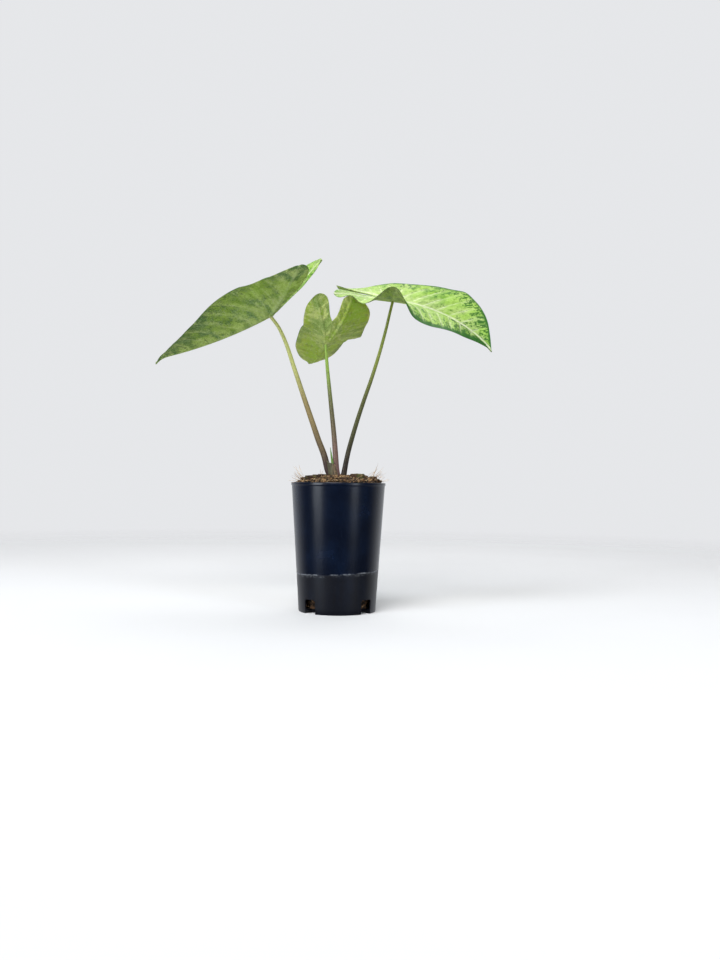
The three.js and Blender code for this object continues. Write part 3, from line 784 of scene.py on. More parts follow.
def chunk_bmesh(number):
    """A split, weathered piece of bark, lying at its packed place."""
    at, half, turn = CHUNKS[number]
    bm = bmesh.new()
    bmesh.ops.create_icosphere(bm, subdivisions=5, radius=1)
    for vert in bm.verts:
        way = vert.co.normalized()
        blocky = [math.copysign(abs(c) ** 0.62, c) for c in way]
        reach = 1 / max(0.75, max(abs(c) for c in blocky)) ** 0.55
        place = Vector([c * s for c, s in zip(way, half)])
        layers = noise.noise(Vector((place.x / 9, place.y / 6, place.z * 1.7 + number)))
        rough = noise.noise(place / 1.7 + Vector((number * 3.7, 1, 2)))
        rough += 0.5 * noise.noise(place / 0.6)
        swell = 0.86 + 0.1 * layers + 0.07 * rough
        vert.co = Vector([c * s * swell * reach for c, s in zip(blocky, half)])
    level = mound_level(*at) + CHUNK_PROUD * half[2]
    bmesh.ops.rotate(bm, matrix=Matrix.Rotation(math.radians(turn), 3, "Z"), verts=bm.verts)
    bmesh.ops.translate(bm, vec=(at[0], at[1], level), verts=bm.verts)
    bmesh.ops.scale(bm, vec=(MM, MM, MM), verts=bm.verts)
    return bm


def bark_material():
    """Dark bark with lengthwise grain, paler worn ridges and a few greenish patches."""
    recipe = Recipe("weathered bark")
    place = recipe.place()
    x, y, z = recipe.split(place)
    grain = recipe.noise(recipe.join(x * 0.5 + y * 0.2, y * 0.6, z * 2.6), 900, 5, 0.6, 0.8)
    patches = recipe.noise(place, 260, 3)
    colour = recipe.coated(
        (0.016, 0.009, 0.006),
        ((0.11, 0.055, 0.028), rising(grain, 0.38, 0.68)),
        ((0.34, 0.21, 0.11), 0.8 * rising(grain * patches, 0.28, 0.38)),
        ((0.085, 0.095, 0.025), 0.7 * rising(patches, 0.5, 0.64)),
    )
    normal = recipe.bump(grain + 0.4 * recipe.noise(place, 2400, 3), 0.00045, 0.9)
    return recipe.finish(colour, 0.7 + 0.25 * patches, normal, EARTH_GLOSS)


def free_spot(draw, litter):
    """A random place on the mound, off the crown."""
    while True:
        angle, radius = draw.uniform(0, math.tau), litter["reach"] * math.sqrt(draw.random())
        x, y = radius * math.cos(angle), radius * math.sin(angle)
        if math.hypot(x + 1.5, y) > litter["off"]:
            return x, y


def crumbs_bmesh(count):
    """Loose crumbs of coir and bark on the mound."""
    draw = random.Random(CRUMBS["seed"])
    bm = bmesh.new()
    for _ in range(count):
        x, y = free_spot(draw, CRUMBS)
        size = draw.uniform(0.35, 1.15) * (1.5 if draw.random() < 0.12 else 1)
        made = bmesh.ops.create_icosphere(bm, subdivisions=1, radius=1)["verts"]
        stretch = [draw.uniform(*limits) for limits in ((0.8, 1.6), (0.7, 1.1), (0.5, 0.9))]
        stretch = Vector(stretch) * size
        turn = Matrix.Rotation(draw.uniform(0, math.tau), 3, "Z")
        turn = turn @ Matrix.Rotation(draw.uniform(-1, 1), 3, "X")
        base = Vector((x, y, mix_level(x, y) + 0.25 * size))
        for vert in made:
            rough = 1 + draw.uniform(-0.22, 0.22)
            vert.co = (turn @ Vector([c * s * rough for c, s in zip(vert.co, stretch)]) + base) * MM
    return bm


def chips_bmesh(count):
    """Flat chips of husk and bark that lie loosely on the mound."""
    draw = random.Random(CHIPS["seed"])
    bm = bmesh.new()
    for _ in range(count):
        x, y = free_spot(draw, CHIPS)
        made = bmesh.ops.create_cube(bm, size=1)["verts"]
        # dict.fromkeys drops doubles and keeps the order, so that each corner gets the same draws.
        faces = list(dict.fromkeys(f for v in made for f in v.link_faces))
        edges = list(dict.fromkeys(e for f in faces for e in f.edges))
        cut = bmesh.ops.subdivide_edges(bm, edges=edges, cuts=2, use_grid_fill=True)
        faces += [g for g in cut["geom"] if isinstance(g, bmesh.types.BMFace)]
        made = list(dict.fromkeys(v for f in faces for v in f.verts))
        size = (draw.uniform(1.4, 4.4), draw.uniform(0.8, 2.2), draw.uniform(0.35, 0.9))
        turn = (
            Matrix.Rotation(draw.uniform(0, math.tau), 3, "Z")
            @ Matrix.Rotation(draw.uniform(-0.5, 0.5), 3, "X")
            @ Matrix.Rotation(draw.uniform(-0.5, 0.5), 3, "Y")
        )
        base = Vector((x, y, mix_level(x, y) + 0.3))
        bend = draw.uniform(-0.25, 0.25)
        for vert in made:
            jag = [c * s * (1 + draw.uniform(-0.16, 0.16)) for c, s in zip(vert.co, size)]
            jag[2] += bend * (jag[0] / size[0]) ** 2 * size[0]
            vert.co = (turn @ Vector(jag) + base) * MM
    return bm


def strand(bm, line, thickness):
    """A hair-thin closed strand along a line of points, from a small grid rolled into a tube."""
    steps, sides = len(line) - 1, 3
    made = bmesh.ops.create_grid(bm, x_segments=steps, y_segments=sides, size=0.5)["verts"]
    for vert in made:
        step = round((vert.co.x + 0.5) * steps)
        angle = round((vert.co.y + 0.5) * sides) % sides * math.tau / sides
        ahead = (line[min(step + 1, steps)] - line[max(step - 1, 0)]).normalized()
        aside = ahead.cross(Vector((0.3, 0.2, 1))).normalized()
        wide = thickness * (0 < step < steps)
        offset = aside * math.cos(angle) + aside.cross(ahead) * math.sin(angle)
        vert.co = (line[step] + offset * wide) * MM
    bmesh.ops.remove_doubles(bm, verts=made, dist=2e-6)


def fibre_line(draw, start, heading, rise, length, curl):
    """A wandering line that starts at a point and heads off at an angle and a slope."""
    line = [start]
    for _ in range(FIBRES["steps"]):
        heading += draw.uniform(-curl, curl)
        rise += draw.uniform(-0.5, 0.42) * curl
        level = math.cos(rise)
        way = Vector((math.cos(heading) * level, math.sin(heading) * level, math.sin(rise)))
        line.append(line[-1] + way * (length / FIBRES["steps"]))
    return line


def fibres_bmesh(count, stray):
    """Coir fibres: most lie on the mound, and some stray up and out over the rim on both sides."""
    draw = random.Random(FIBRES["seed"])
    bm = bmesh.new()
    for _ in range(count):
        x, y = free_spot(draw, FIBRES)
        start = Vector((x, y, mix_level(x, y) - 0.2))
        heading = draw.uniform(0, math.tau)
        line = [start]
        length, bend = draw.uniform(5, 17), draw.uniform(-0.35, 0.35)
        step = length / FIBRES["steps"]
        for _ in range(FIBRES["steps"]):
            heading += bend + draw.uniform(-0.3, 0.3)
            point = line[-1] + Vector((math.cos(heading), math.sin(heading), 0)) * step
            if math.hypot(point.x, point.y) > FIBRES["rim"]:
                break
            point.z = mix_level(point.x, point.y) + draw.uniform(0.05, 0.9)
            line.append(point)
        if len(line) > 3:
            strand(bm, line, draw.uniform(0.09, 0.2))
    for _ in range(stray):
        side = draw.choice((0, 0, math.pi, math.pi, draw.uniform(0, math.tau)))
        angle = side + draw.gauss(0, 0.45)
        radius = draw.uniform(24, 32)
        x, y = radius * math.cos(angle), radius * math.sin(angle)
        start = Vector((x, y, mix_level(x, y) - 0.6))
        rise = draw.uniform(0.25, 1.1)
        line = fibre_line(draw, start, angle + draw.gauss(0, 0.5), rise, draw.uniform(6, 15), 0.4)
        strand(bm, line, draw.uniform(0.06, 0.12))
    return bm


# The plant.


def corm_material():
    """Pale brown corm skin with rings and root scars."""
    recipe = Recipe("corm skin")
    place = recipe.place()
    _, _, z = recipe.split(place)
    rings = wave(z / MM * 3.1 + 3 * recipe.noise(place, 200, 2))
    mottled = recipe.noise(place, 420, 4)
    colour = recipe.coated(
        (0.13, 0.075, 0.04),
        ((0.34, 0.23, 0.13), rising(mottled, 0.35, 0.68)),
        ((0.07, 0.04, 0.022), 0.5 * rising(rings, 0.6, 0.95)),
    )
    normal = recipe.bump(mottled + 0.4 * rings, 0.0004, 0.8)
    return recipe.finish(colour, 0.75 + 0.15 * mottled, normal)


def stalk_material(name, top, middle, base, low, high):
    """A stalk that turns from its top colour through another to its dark base, finely streaked."""
    recipe = Recipe(name)
    place = recipe.place()
    x, y, z = recipe.split(place)
    streaks = recipe.noise(recipe.join(x, y, z * 0.05), 1500, 4, 0.6)
    spots = recipe.noise(recipe.join(x, y, z * 0.35), 620, 4, 0.65)
    height = z / MM + 16 * (recipe.noise(recipe.join(x, y, z * 0.2), 260, 3) - 0.5)
    half_way = 0.5 * (low + high)
    pale = rising(streaks, 0.52, 0.72) * (0.25 + 0.35 * rising(z / MM, 150, 105))
    colour = recipe.coated(
        base,
        (middle, rising(height, low, half_way)),
        (top, rising(height, half_way, high)),
        ((0.3, 0.25, 0.13), 0.4 * pale),
        ((0.045, 0.028, 0.022), 0.4 * rising(spots, 0.56, 0.72)),
    )
    normal = recipe.bump(streaks + 0.3 * spots, 0.00015, 0.6)
    return recipe.finish(colour, 0.36 + 0.2 * streaks, normal)


# Stalk colours: top, middle, base, and the heights in millimetres between which they change.
STALK_COLOURS = {
    "left_leaf": ((0.4, 0.42, 0.13), (0.23, 0.17, 0.065), (0.05, 0.026, 0.022), 104, 190),
    "middle_leaf": ((0.24, 0.38, 0.05), (0.085, 0.075, 0.025), (0.17, 0.085, 0.075), 104, 192),
    "right_leaf": ((0.23, 0.28, 0.035), (0.075, 0.08, 0.018), (0.022, 0.014, 0.01), 104, 200),
}


def stalk_bmesh(leaf, sides, steps):
    """A stalk with fine ribs that widens at its seat and runs up into the blade's joint."""
    top = Vector(leaf["joint"]) - upper_normal(leaf, 0, 0) * STALK_SHORT
    low, high = leaf["thick"]

    def radius(share, angle):
        swell = 0.25 * math.exp(-share * 26) + 0.12 * math.exp(-(1 - share) * 40)
        ribbed = 0.035 * math.sin(7 * angle + 3 * share) + 0.02 * math.sin(3 * angle + 9 * share)
        return (low + (high - low) * share) * (1 + ribbed + swell * (0 < share < 1))

    return sweep([*leaf["path"], top], sides, steps, radius)


def spike_bmesh():
    """The new leaf, still rolled: a tapered scroll whose edge winds up it."""
    wide, narrow = NEW_LEAF["thick"]

    def radius(share, angle):
        rolled = 0.92 + 0.16 * ((angle / math.tau + 1.2 * share) % 1)
        return (narrow + (wide - narrow) * (1 - share ** NEW_LEAF["taper"])) * rolled

    return sweep(NEW_LEAF["path"], NEW_LEAF["sides"], NEW_LEAF["steps"], radius)


def fibre_material(settings):
    """Coir fibres from blond to brown."""
    recipe = Recipe("coir fibre")
    place = recipe.place()
    tone = recipe.noise(place, 130, 3)
    fine = recipe.noise(place, 1500, 2)
    colour = recipe.coated(
        (0.3, 0.16, 0.07),
        ((0.68, 0.48, 0.26), rising(tone, 0.36, 0.6)),
        (settings.dark, 0.4 * rising(fine, 0.55, 0.7)),
    )
    return recipe.finish(colour, 0.6 + 0.2 * fine, recipe.bump(fine, 0.0001, 0.5))


# What each side of each leaf looks like. Colours are linear; lengths are in millimetres.
UPPER_LOOK = {
    "ground": (0.28, 0.5, 0.045), "second": (0.13, 0.35, 0.02), "bloom": (0.42, 0.6, 0.12),
    "bloom_share": 0.6, "deep": (0.008, 0.105, 0.008), "tip": (0.24, 0.52, 0.06),
    "tip_share": 0.35, "heart": -0.04, "fine_share": 0.2, "margin": 1.1, "right_band": 4.2,
    "margin_share": 0.92, "pale": (0.54, 0.66, 0.25), "halo": 2.6, "halo_share": 0.65,
    "fleck": (0.01, 0.1, 0.01), "fleck_from": 0.575, "fleck_soft": 0.035, "fleck_share": 0.9,
    "vein": (0.72, 0.78, 0.5), "vein_width": 1.05, "vein_share": 0.62, "rib_share": 0.9,
    "rough": 0.5, "gloss": 0.12, "glow": (0.5, 0.7, 0.06), "glow_share": 0.25,
}
UNDER_LOOK = {
    "ground": (0.03, 0.09, 0.016), "second": (0.26, 0.38, 0.06), "bloom": (0.09, 0.2, 0.08),
    "bloom_share": 0.7, "deep": (0.025, 0.07, 0.014), "tip": (0.1, 0.19, 0.03), "tip_share": 0.4,
    "heart": 0.05, "fine_share": 0.4, "margin": 0.8, "right_band": 0.01, "margin_share": 0.2,
    "pale": (0.56, 0.66, 0.22), "halo": 2.8, "halo_share": 0.7, "fleck": (0.025, 0.075, 0.016),
    "fleck_from": 0.54, "fleck_soft": 0.08, "fleck_share": 0.5, "vein": (0.42, 0.5, 0.22),
    "vein_width": 0.7, "vein_share": 0.4, "rib_share": 0.5, "rough": 0.6, "gloss": 0.15,
    "glow": (0.4, 0.58, 0.05), "glow_share": 0.3,
}
# How single leaves differ from those.
LEAF_DIFFERENCES = {
    ("middle_leaf", "under"): {
        "ground": (0.16, 0.25, 0.02), "second": (0.86, 0.88, 0.14), "bloom": (0.3, 0.45, 0.16),
        "bloom_share": 0.5, "deep": (0.06, 0.11, 0.012), "fine_share": 0.3,
        "pale": (0.8, 0.84, 0.32), "glow_share": 0.6, "heart": 0.0, "rib_share": 0.2,
        "fleck_share": 0.3,
    },
}


def leaf_look(leaf, side):
    look = UPPER_LOOK if side == "upper" else UNDER_LOOK
    return look | LEAF_DIFFERENCES.get((leaf["name"], side), {})


def leaf_places(recipe):
    """The flat blade's coordinates in millimetres, from its UV map."""
    u, v, _ = recipe.split(recipe.add("ShaderNodeUVMap", {"uv_map": "flat"}))
    return (u - FLAT_JOINT[0]) * FLAT_SIDE, (v - FLAT_JOINT[1]) * FLAT_SIDE


def leaf_material(leaf, side):
    """One side of a blade: pale veins on a patchy ground, with dark flecks and a dark margin."""
    look = leaf_look(leaf, side)
    recipe = Recipe(f"{leaf['name'].replace('_', ' ')} {side}")
    x, y = leaf_places(recipe)
    length = leaf["length"]
    edge = recipe.add("ShaderNodeAttribute", {"attribute_name": "margin"}, output="Fac")
    rib, side_vein, course = veins(leaf, x, y)
    flat = recipe.join(x, y, length)
    broad = recipe.noise(flat, 0.035, 3, 0.5)
    patches = recipe.noise(flat, 0.1, 4, 0.6)
    mottle = recipe.noise(flat, 0.42, 4, 0.65)
    feather = recipe.noise(recipe.join(course * 9.0, abs(y) * 0.2, x * 0.1), 0.8, 4, 0.65)
    grain = recipe.noise(flat, 1.1, 3, 0.6)
    far = rising(x, 0.1 * length, 0.9 * length)
    inward = rising(x, -0.3 * length, 0.05 * length)
    right_half = rising(y, 1.0, -1.0)

    heart = look["heart"] * bell((x * x + y * y) ** 0.5, 0.4 * length)
    light = rising(0.3 * broad + 0.35 * patches + 0.35 * mottle + heart, 0.46, 0.545)
    bloomed = rising(0.5 * broad + 0.3 * patches + 0.2 * grain, 0.53, 0.42)
    halo = bell(side_vein, look["halo"]) * rising(0.5 * feather + 0.5 * patches, 0.4, 0.56)
    rib_halo = bell(rib, 3.6 * look["halo"]) * rising(patches, 0.44, 0.56)
    fine = 0.5 * mottle + 0.5 * grain
    network = rising(recipe.cells(flat, 0.62, "DISTANCE_TO_EDGE"), 0.2, 0.03)

    margin = look["margin"] * (0.3 + 1.4 * rising(broad, 0.35, 0.65))
    band = margin + look["right_band"] * right_half * inward
    ragged = edge + 8 * (feather - 0.5) + 6 * (mottle - 0.5)
    speckled = rising(ragged / band, 1.25, 0.55) * (1 - 0.85 * rising(fine, 0.5, 0.57))
    crowd = 0.06 * rising(edge, 14.0, 2.0) + 0.05 * far + 0.03 * right_half
    crowd = crowd + 0.14 * (patches - 0.5) - 0.06 * (1 - inward)
    spots = 0.45 * feather + 0.3 * mottle + 0.25 * grain + crowd
    flecks = rising(spots, look["fleck_from"], look["fleck_from"] + look["fleck_soft"])

    worn = rising(0.6 * feather + 0.4 * patches, 0.4, 0.58)
    line = rising(side_vein, look["vein_width"], 0.1 * look["vein_width"]) * (0.2 + 0.8 * worn)
    half_rib = look["vein_width"] * (2.0 - 1.3 * rising(abs(x), 0.0, length))
    rib_line = rising(rib / half_rib, 1.25, 0.35) * (0.7 + 0.3 * worn)
    veined = most(look["vein_share"] * line * rising(edge, 1.5, 14.0), look["rib_share"] * rib_line)

    colour = recipe.coated(
        look["ground"],
        (look["second"], light),
        (look["bloom"], look["bloom_share"] * bloomed),
        (look["tip"], look["tip_share"] * far),
        (look["pale"], look["halo_share"] * least(halo + rib_halo, 1.0)),
        (look["deep"], look["fine_share"] * rising(fine, 0.5, 0.56)),
        (look["pale"], look["fine_share"] * rising(fine, 0.47, 0.41)),
        (look["pale"], 0.2 * network),
        (look["deep"], look["margin_share"] * speckled * (0.3 + 0.7 * inward)),
        (look["fleck"], look["fleck_share"] * flecks),
        (look["vein"], least(veined, 1.0)),
        (look["deep"], 0.6 * rising(edge, 0.7, 0.2) * (0.3 + 0.7 * inward)),
    )
    normal = recipe.bump(0.5 * mottle - 0.8 * network + 0.5 * feather, 0.00016, 0.5)
    glow = look["glow_share"] * (0.5 + 0.8 * light) * (1 - 0.7 * least(flecks + speckled, 1.0))
    rough = look["rough"] + 0.16 * mottle
    return recipe.finish(colour, rough, normal, look["gloss"], look["glow"], glow)


def blade_bmesh(leaf, midrib_steps, lobe_steps, rings, relief):
    """The blade's upper side as one sheet with its veins sunk in, its flat places in a UV map, the
    way to the margin in an attribute, and how thick it is at each point."""
    half = half_columns(leaf, midrib_steps, lobe_steps)
    last = 2 * len(half) - 1
    bm = bmesh.new()
    bmesh.ops.create_grid(bm, x_segments=last, y_segments=rings, size=0.5)
    floats = bm.verts.layers.float
    flat_x, flat_y, margin = (floats.new(name) for name in ("flat_x", "flat_y", "margin"))
    for vert in bm.verts:
        column = round((vert.co.x + 0.5) * last)
        share = 1 - round((vert.co.y + 0.5) * rings) / rings
        side = 1 if column < len(half) else -1
        outer, rib = half[column if side > 0 else last - column]
        outer, rib = flat_point(leaf, outer, side), flat_point(leaf, rib, side)
        x = rib[0] + (outer[0] - rib[0]) * share
        y = rib[1] + (outer[1] - rib[1]) * share
        vert[flat_x], vert[flat_y] = x, y
        vert[margin] = (1 - share) * math.dist(outer, rib)
        vert.co = blade_point(leaf, x, y) * MM
    bmesh.ops.remove_doubles(bm, verts=bm.verts, dist=2e-7)
    crease = [v for v in bm.verts if abs(v[flat_y]) < BLADE["crease"] and not v.is_boundary]
    for _ in range(6):
        bmesh.ops.smooth_vert(
            bm, verts=crease, factor=0.5, use_axis_x=True, use_axis_y=True, use_axis_z=True
        )
    bm.normal_update()
    uv = bm.loops.layers.uv.new("flat")
    for face in bm.faces:
        for loop in face.loops:
            x, y = loop.vert[flat_x], loop.vert[flat_y]
            loop[uv].uv = (x / FLAT_SIDE + FLAT_JOINT[0], y / FLAT_SIDE + FLAT_JOINT[1])
    deform = bm.verts.layers.deform.new()
    for vert in bm.verts:
        x, y, edge = vert[flat_x], vert[flat_y], vert[margin]
        rib, side_vein, _ = veins(leaf, x, y)
        inside = rising(edge, 0.5, 5.0)
        to_tip = rising(abs(x), 0, leaf["length"])
        quilt = BLADE["quilt"] * (1 - bell(side_vein, 3.2)) * (1 - bell(rib, 4.5))
        quilt *= rising(edge, 1, 9)
        vein_sunk = BLADE["vein_sunk"] * bell(side_vein, 0.9) * inside
        sunk = max(BLADE["rib_sunk"] * bell(rib, 1.3), vein_sunk)
        ripple = BLADE["ripple"] * noise.noise(Vector((x, y, leaf["length"])) / 9)
        ripple *= rising(edge, 12, 1)
        vert.co += vert.normal * ((quilt - sunk + ripple) * relief * MM)
        rib_thick = BLADE["rib_thick"] * bell(rib, 1.05) * (1 - 0.78 * to_tip)
        vein_thick = BLADE["vein_thick"] * bell(side_vein, 0.7) * inside
        thick = BLADE["sheet"] + max(rib_thick, vein_thick)
        vert[deform][0] = min(1.0, thick * rising(edge, -0.5, 0.7) / BLADE["deepest"])
    for name in ("flat_x", "flat_y"):
        floats.remove(floats[name])
    return bm


def sheath_bmesh():
    """The split sheath: a trough on its path whose slanted top edge is torn, drawn as one sheet."""
    along = smooth_path(SHEATH["path"])
    wide, narrow = SHEATH["thick"]
    bm = bmesh.new()
    columns, rows = SHEATH["columns"], SHEATH["rows"]
    bmesh.ops.create_grid(bm, x_segments=columns, y_segments=rows, size=0.5)
    for vert in bm.verts:
        opened = 2 * vert.co.x
        climbed = vert.co.y + 0.5
        ragged = 0.035 * noise.noise(Vector((9 * opened, 0, 3))) * climbed
        share = climbed * (1 - SHEATH["slant"] * (1 - opened)) * (0.985 - abs(ragged))
        point, tangent = along(share)
        right, front = beside(tangent)
        fold = 0.12 * noise.noise(Vector((5 * opened, 1.5 * climbed, 1)))
        radius = wide + (narrow - wide) * share + fold + 0.06 * math.sin(26 * opened)
        turn = -math.radians(SHEATH["reach"] * opened)
        aside, ahead = radius * math.sin(turn), radius * math.cos(turn)
        vert.co = (point + right * aside + front * ahead) * MM
    bm.normal_update()
    return bm


def sheath_material():
    """Papery sheath: grey green at the left, dry and tan at the right, finely veined."""
    recipe = Recipe("papery sheath")
    place = recipe.place()
    x, y, z = recipe.split(place)
    streaks = recipe.noise(recipe.join(x, y, z * 0.08), 2000, 4, 0.6)
    patches = recipe.noise(place, 300, 3)
    mottle = recipe.noise(place, 1100, 4, 0.6)
    colour = recipe.coated(
        (0.13, 0.12, 0.06),
        ((0.33, 0.22, 0.13), rising(x / MM + 2.2 * (patches - 0.5), -5.6, -2.6)),
        ((0.03, 0.026, 0.02), 0.85 * rising(streaks + 0.6 * (mottle - 0.5), 0.47, 0.56)),
        ((0.42, 0.42, 0.3), 0.45 * rising(mottle, 0.54, 0.68)),
    )
    normal = recipe.bump(streaks, 0.0002, 0.8)
    glow = (0.35, 0.32, 0.12)
    return recipe.finish(colour, 0.5 + 0.25 * patches, normal, glow=glow, glow_share=0.18)


def spike_material():
    """The rolled new leaf: green, darker towards its base, with fine veins."""
    recipe = Recipe("rolled new leaf")
    place = recipe.place()
    x, y, z = recipe.split(place)
    streaks = recipe.noise(recipe.join(x, y, z * 0.06), 2400, 3, 0.6)
    colour = recipe.coated(
        (0.06, 0.1, 0.03),
        ((0.1, 0.22, 0.03), rising(z / MM, 101, 110)),
        ((0.35, 0.45, 0.16), 0.45 * rising(streaks, 0.5, 0.7)),
    )
    normal = recipe.bump(streaks, 0.0001, 0.6)
    glow = (0.3, 0.5, 0.08)
    return recipe.finish(colour, 0.4 + 0.15 * streaks, normal, glow=glow, glow_share=0.06)


# The stage.


def area_light(name, place, sides, power, colour):
    """A soft rectangular light that faces the plant's middle, with its first side level."""
    light = bpy.data.lights.new(name, "AREA")
    light.shape = "RECTANGLE"
    light.size, light.size_y = sides
    light.energy = power
    light.color = colour
    lamp = placed(name, light)
    lamp.location = place
    lamp.rotation_euler = (Vector(PLANT_MIDDLE) - Vector(place)).to_track_quat("-Z", "Y").to_euler()


def studio_world(settings):
    """Pale surroundings for the camera, and soft light that is stronger from behind."""
    recipe = Recipe("studio", bpy.data.worlds)
    seen = recipe.add("ShaderNodeLightPath", output="Is Camera Ray")
    _, behind, above = recipe.split(recipe.add("ShaderNodeTexCoord", output="Generated"))
    bright = 0.05 + 0.8 * rising(behind, -0.1, 0.75) + 0.2 * rising(above, 0.2, 0.95)
    soft = {"Color": (0.93, 0.96, 1.0), "Strength": bright}
    plain = {"Color": settings.backdrop_colour, "Strength": 1.0}
    soft, plain = (recipe.add("ShaderNodeBackground", None, inputs) for inputs in (soft, plain))
    recipe.add("ShaderNodeOutputWorld", None, {0: recipe.mixed(seen, soft, plain)})
    bpy.context.scene.world = recipe.owner


def stage_floor(settings):
    """A round pale floor that fades out into the backdrop and leaves no reflection."""
    bm = bmesh.new()
    sides, radius = STAGE_FLOOR["sides"], STAGE_FLOOR["radius"]
    bmesh.ops.create_circle(bm, cap_ends=True, segments=sides, radius=radius)
    floor = placed("floor", mesh_of(bm, "floor"))
    recipe = Recipe("pale floor")
    place = recipe.place()
    across, away, _ = recipe.split(place)
    reach = (across * across + away * away) ** 0.5
    pale = ((0.8, 0.8, 0.8), 0.2 * recipe.noise(place, 6, 3))
    colour = recipe.coated(settings.floor_colour, pale)
    matte = recipe.add("ShaderNodeBsdfDiffuse", None, {"Color": colour, "Roughness": 0.75})
    clear = recipe.add("ShaderNodeBsdfTransparent")
    faded = rising(reach, STAGE_FLOOR["fade_from"], STAGE_FLOOR["fade_to"])
    recipe.add("ShaderNodeOutputMaterial", None, {0: recipe.mixed(faded, matte, clear)})
    floor.data.materials.append(recipe.owner)
    floor.visible_glossy = False


def studio_camera():
    """The camera, which looks level at the pot's rim."""
    data = bpy.data.cameras.new("camera")
    data.sensor_width = 36
    data.lens = CAMERA["lens"]
    camera = placed("camera", data)
    tilt = Matrix.Rotation(math.radians(CAMERA["tilt"]), 4, "X")
    roll = Matrix.Rotation(math.radians(CAMERA["roll"]), 4, "Z")
    camera.matrix_world = Matrix.Translation(CAMERA["place"]) @ (tilt @ roll)
    bpy.context.scene.camera = camera


# Sizes and colours that a user would change.


def colour_property(name, description, default):
    return FloatVectorProperty(
        name=name, description=description, default=default, subtype="COLOR", size=3, min=0, max=1
    )


def count_property(name, description, default):
    return IntProperty(name=name, description=description, default=default, min=1)


def number_property(name, description, default, unit="NONE"):
    return FloatProperty(name=name, description=description, default=default, unit=unit, min=0)


class PotSettings(bpy.types.PropertyGroup):
    """Fineness and finish of the pot."""

    segments: count_property("Segments", "Steps around the pot", 192)
    edge: number_property("Edge", "How far cut edges are eased", 0.00022, "LENGTH")
    tide_height: number_property("Tide line", "Height of the tide line", 0.0292, "LENGTH")
    pot_colour: colour_property("Plastic", "Colour of the clean plastic", (0.0008, 0.0035, 0.013))
    film_colour: colour_property("Film", "Colour of the dull film", (0.007, 0.0065, 0.008))


class MixSettings(bpy.types.PropertyGroup):
    """Fineness of the mix and what lies loose on it."""

    cells: count_property("Cells", "Cells across the top of the mix", 116)
    crumbs: count_property("Crumbs", "Loose crumbs", 900)
    chips: count_property("Chips", "Loose flat chips", 300)
    fibres: count_property("Fibres", "Fibres that lie on the mix", 330)
    strays: count_property("Strays", "Fibres that stray over the rim", 60)
    dark: colour_property("Dark", "Colour of the dark crumbs", (0.017, 0.01, 0.006))
    brown: colour_property("Brown", "Colour of the husk", (0.17, 0.085, 0.038))
    straw: colour_property("Straw", "Colour of the fibrous bits", (0.5, 0.33, 0.17))


class StalkSettings(bpy.types.PropertyGroup):
    """Fineness of the stalks."""

    sides: count_property("Sides", "Steps around a stalk", 24)
    steps: count_property("Steps", "Steps along a stalk", 90)


class BladeSettings(bpy.types.PropertyGroup):
    """Fineness and relief of the blades."""

    midrib_steps: count_property("Midrib steps", "Columns along half of the midrib", 150)
    lobe_steps: count_property("Lobe steps", "Columns along each side of a lobe", 62)
    rings: count_property("Rings", "Rows from the ribs to the margin", 44)
    relief: number_property("Relief", "How strongly the veins are sunk in", 1.0)


class StageSettings(bpy.types.PropertyGroup):
    """The stage's colours and light."""

    floor_colour: colour_property("Floor", "Colour of the floor", (0.62, 0.62, 0.63))
    backdrop_colour: colour_property("Backdrop", "What the camera sees behind", (0.79, 0.8, 0.82))
    front_power: number_property("Front", "Front lights in watts", 3.0)
    key_power: number_property("Key", "High rear light in watts", 10.0)


class PlantSettings(bpy.types.PropertyGroup):
    """Everything that can be set."""

    pot: PointerProperty(type=PotSettings)
    mix: PointerProperty(type=MixSettings)
    stalks: PointerProperty(type=StalkSettings)
    blades: PointerProperty(type=BladeSettings)
    stage: PointerProperty(type=StageSettings)


# What the panel's buttons do.


class AddPot(bpy.types.Operator):
    """Adds the tall starter pot, with its lip, moulded floor and drain slots."""

    bl_idname = "caladium.add_pot"
    bl_label = "Add pot"

    def execute(self, context):
        settings = context.scene.caladium.pot
        material = pot_material(settings)
        pot = hand_over(pot_bmesh(settings.segments), "starter_pot", [material], ["pot"])
        cut_out(pot, [pot_cutter(number) for number in range(SLOT["count"])])
        pot.data.set_sharp_from_angle(angle=math.radians(34))
        eased = {"limit_method": "ANGLE", "angle_limit": math.radians(50), "width": settings.edge}
        modify(pot, "eased edges", "BEVEL", segments=2, harden_normals=True, **eased)
        return {"FINISHED"}


class AddMix(bpy.types.Operator):
    """Adds the coarse potting mix that fills the pot."""

    bl_idname = "caladium.add_mix"
    bl_label = "Add potting mix"

    def execute(self, context):
        mix = context.scene.caladium.mix
        material = earth_material("coarse potting mix", mix.dark, mix.brown, mix.straw, 0.16)
        hand_over(mix_bmesh(mix.cells), "coarse_mix", [material], ["potting_mix"])
        return {"FINISHED"}


class AddBark(bpy.types.Operator):
    """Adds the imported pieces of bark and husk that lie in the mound."""

    bl_idname = "caladium.add_bark"
    bl_label = "Add bark"

    def execute(self, context):
        material = bark_material()
        for number in range(len(CHUNKS)):
            name, node = f"bark_piece_{number + 1}", f"bark_chunk_{number + 1}"
            hand_over(chunk_bmesh(number), name, [material], [node], sharp=50)
        return {"FINISHED"}


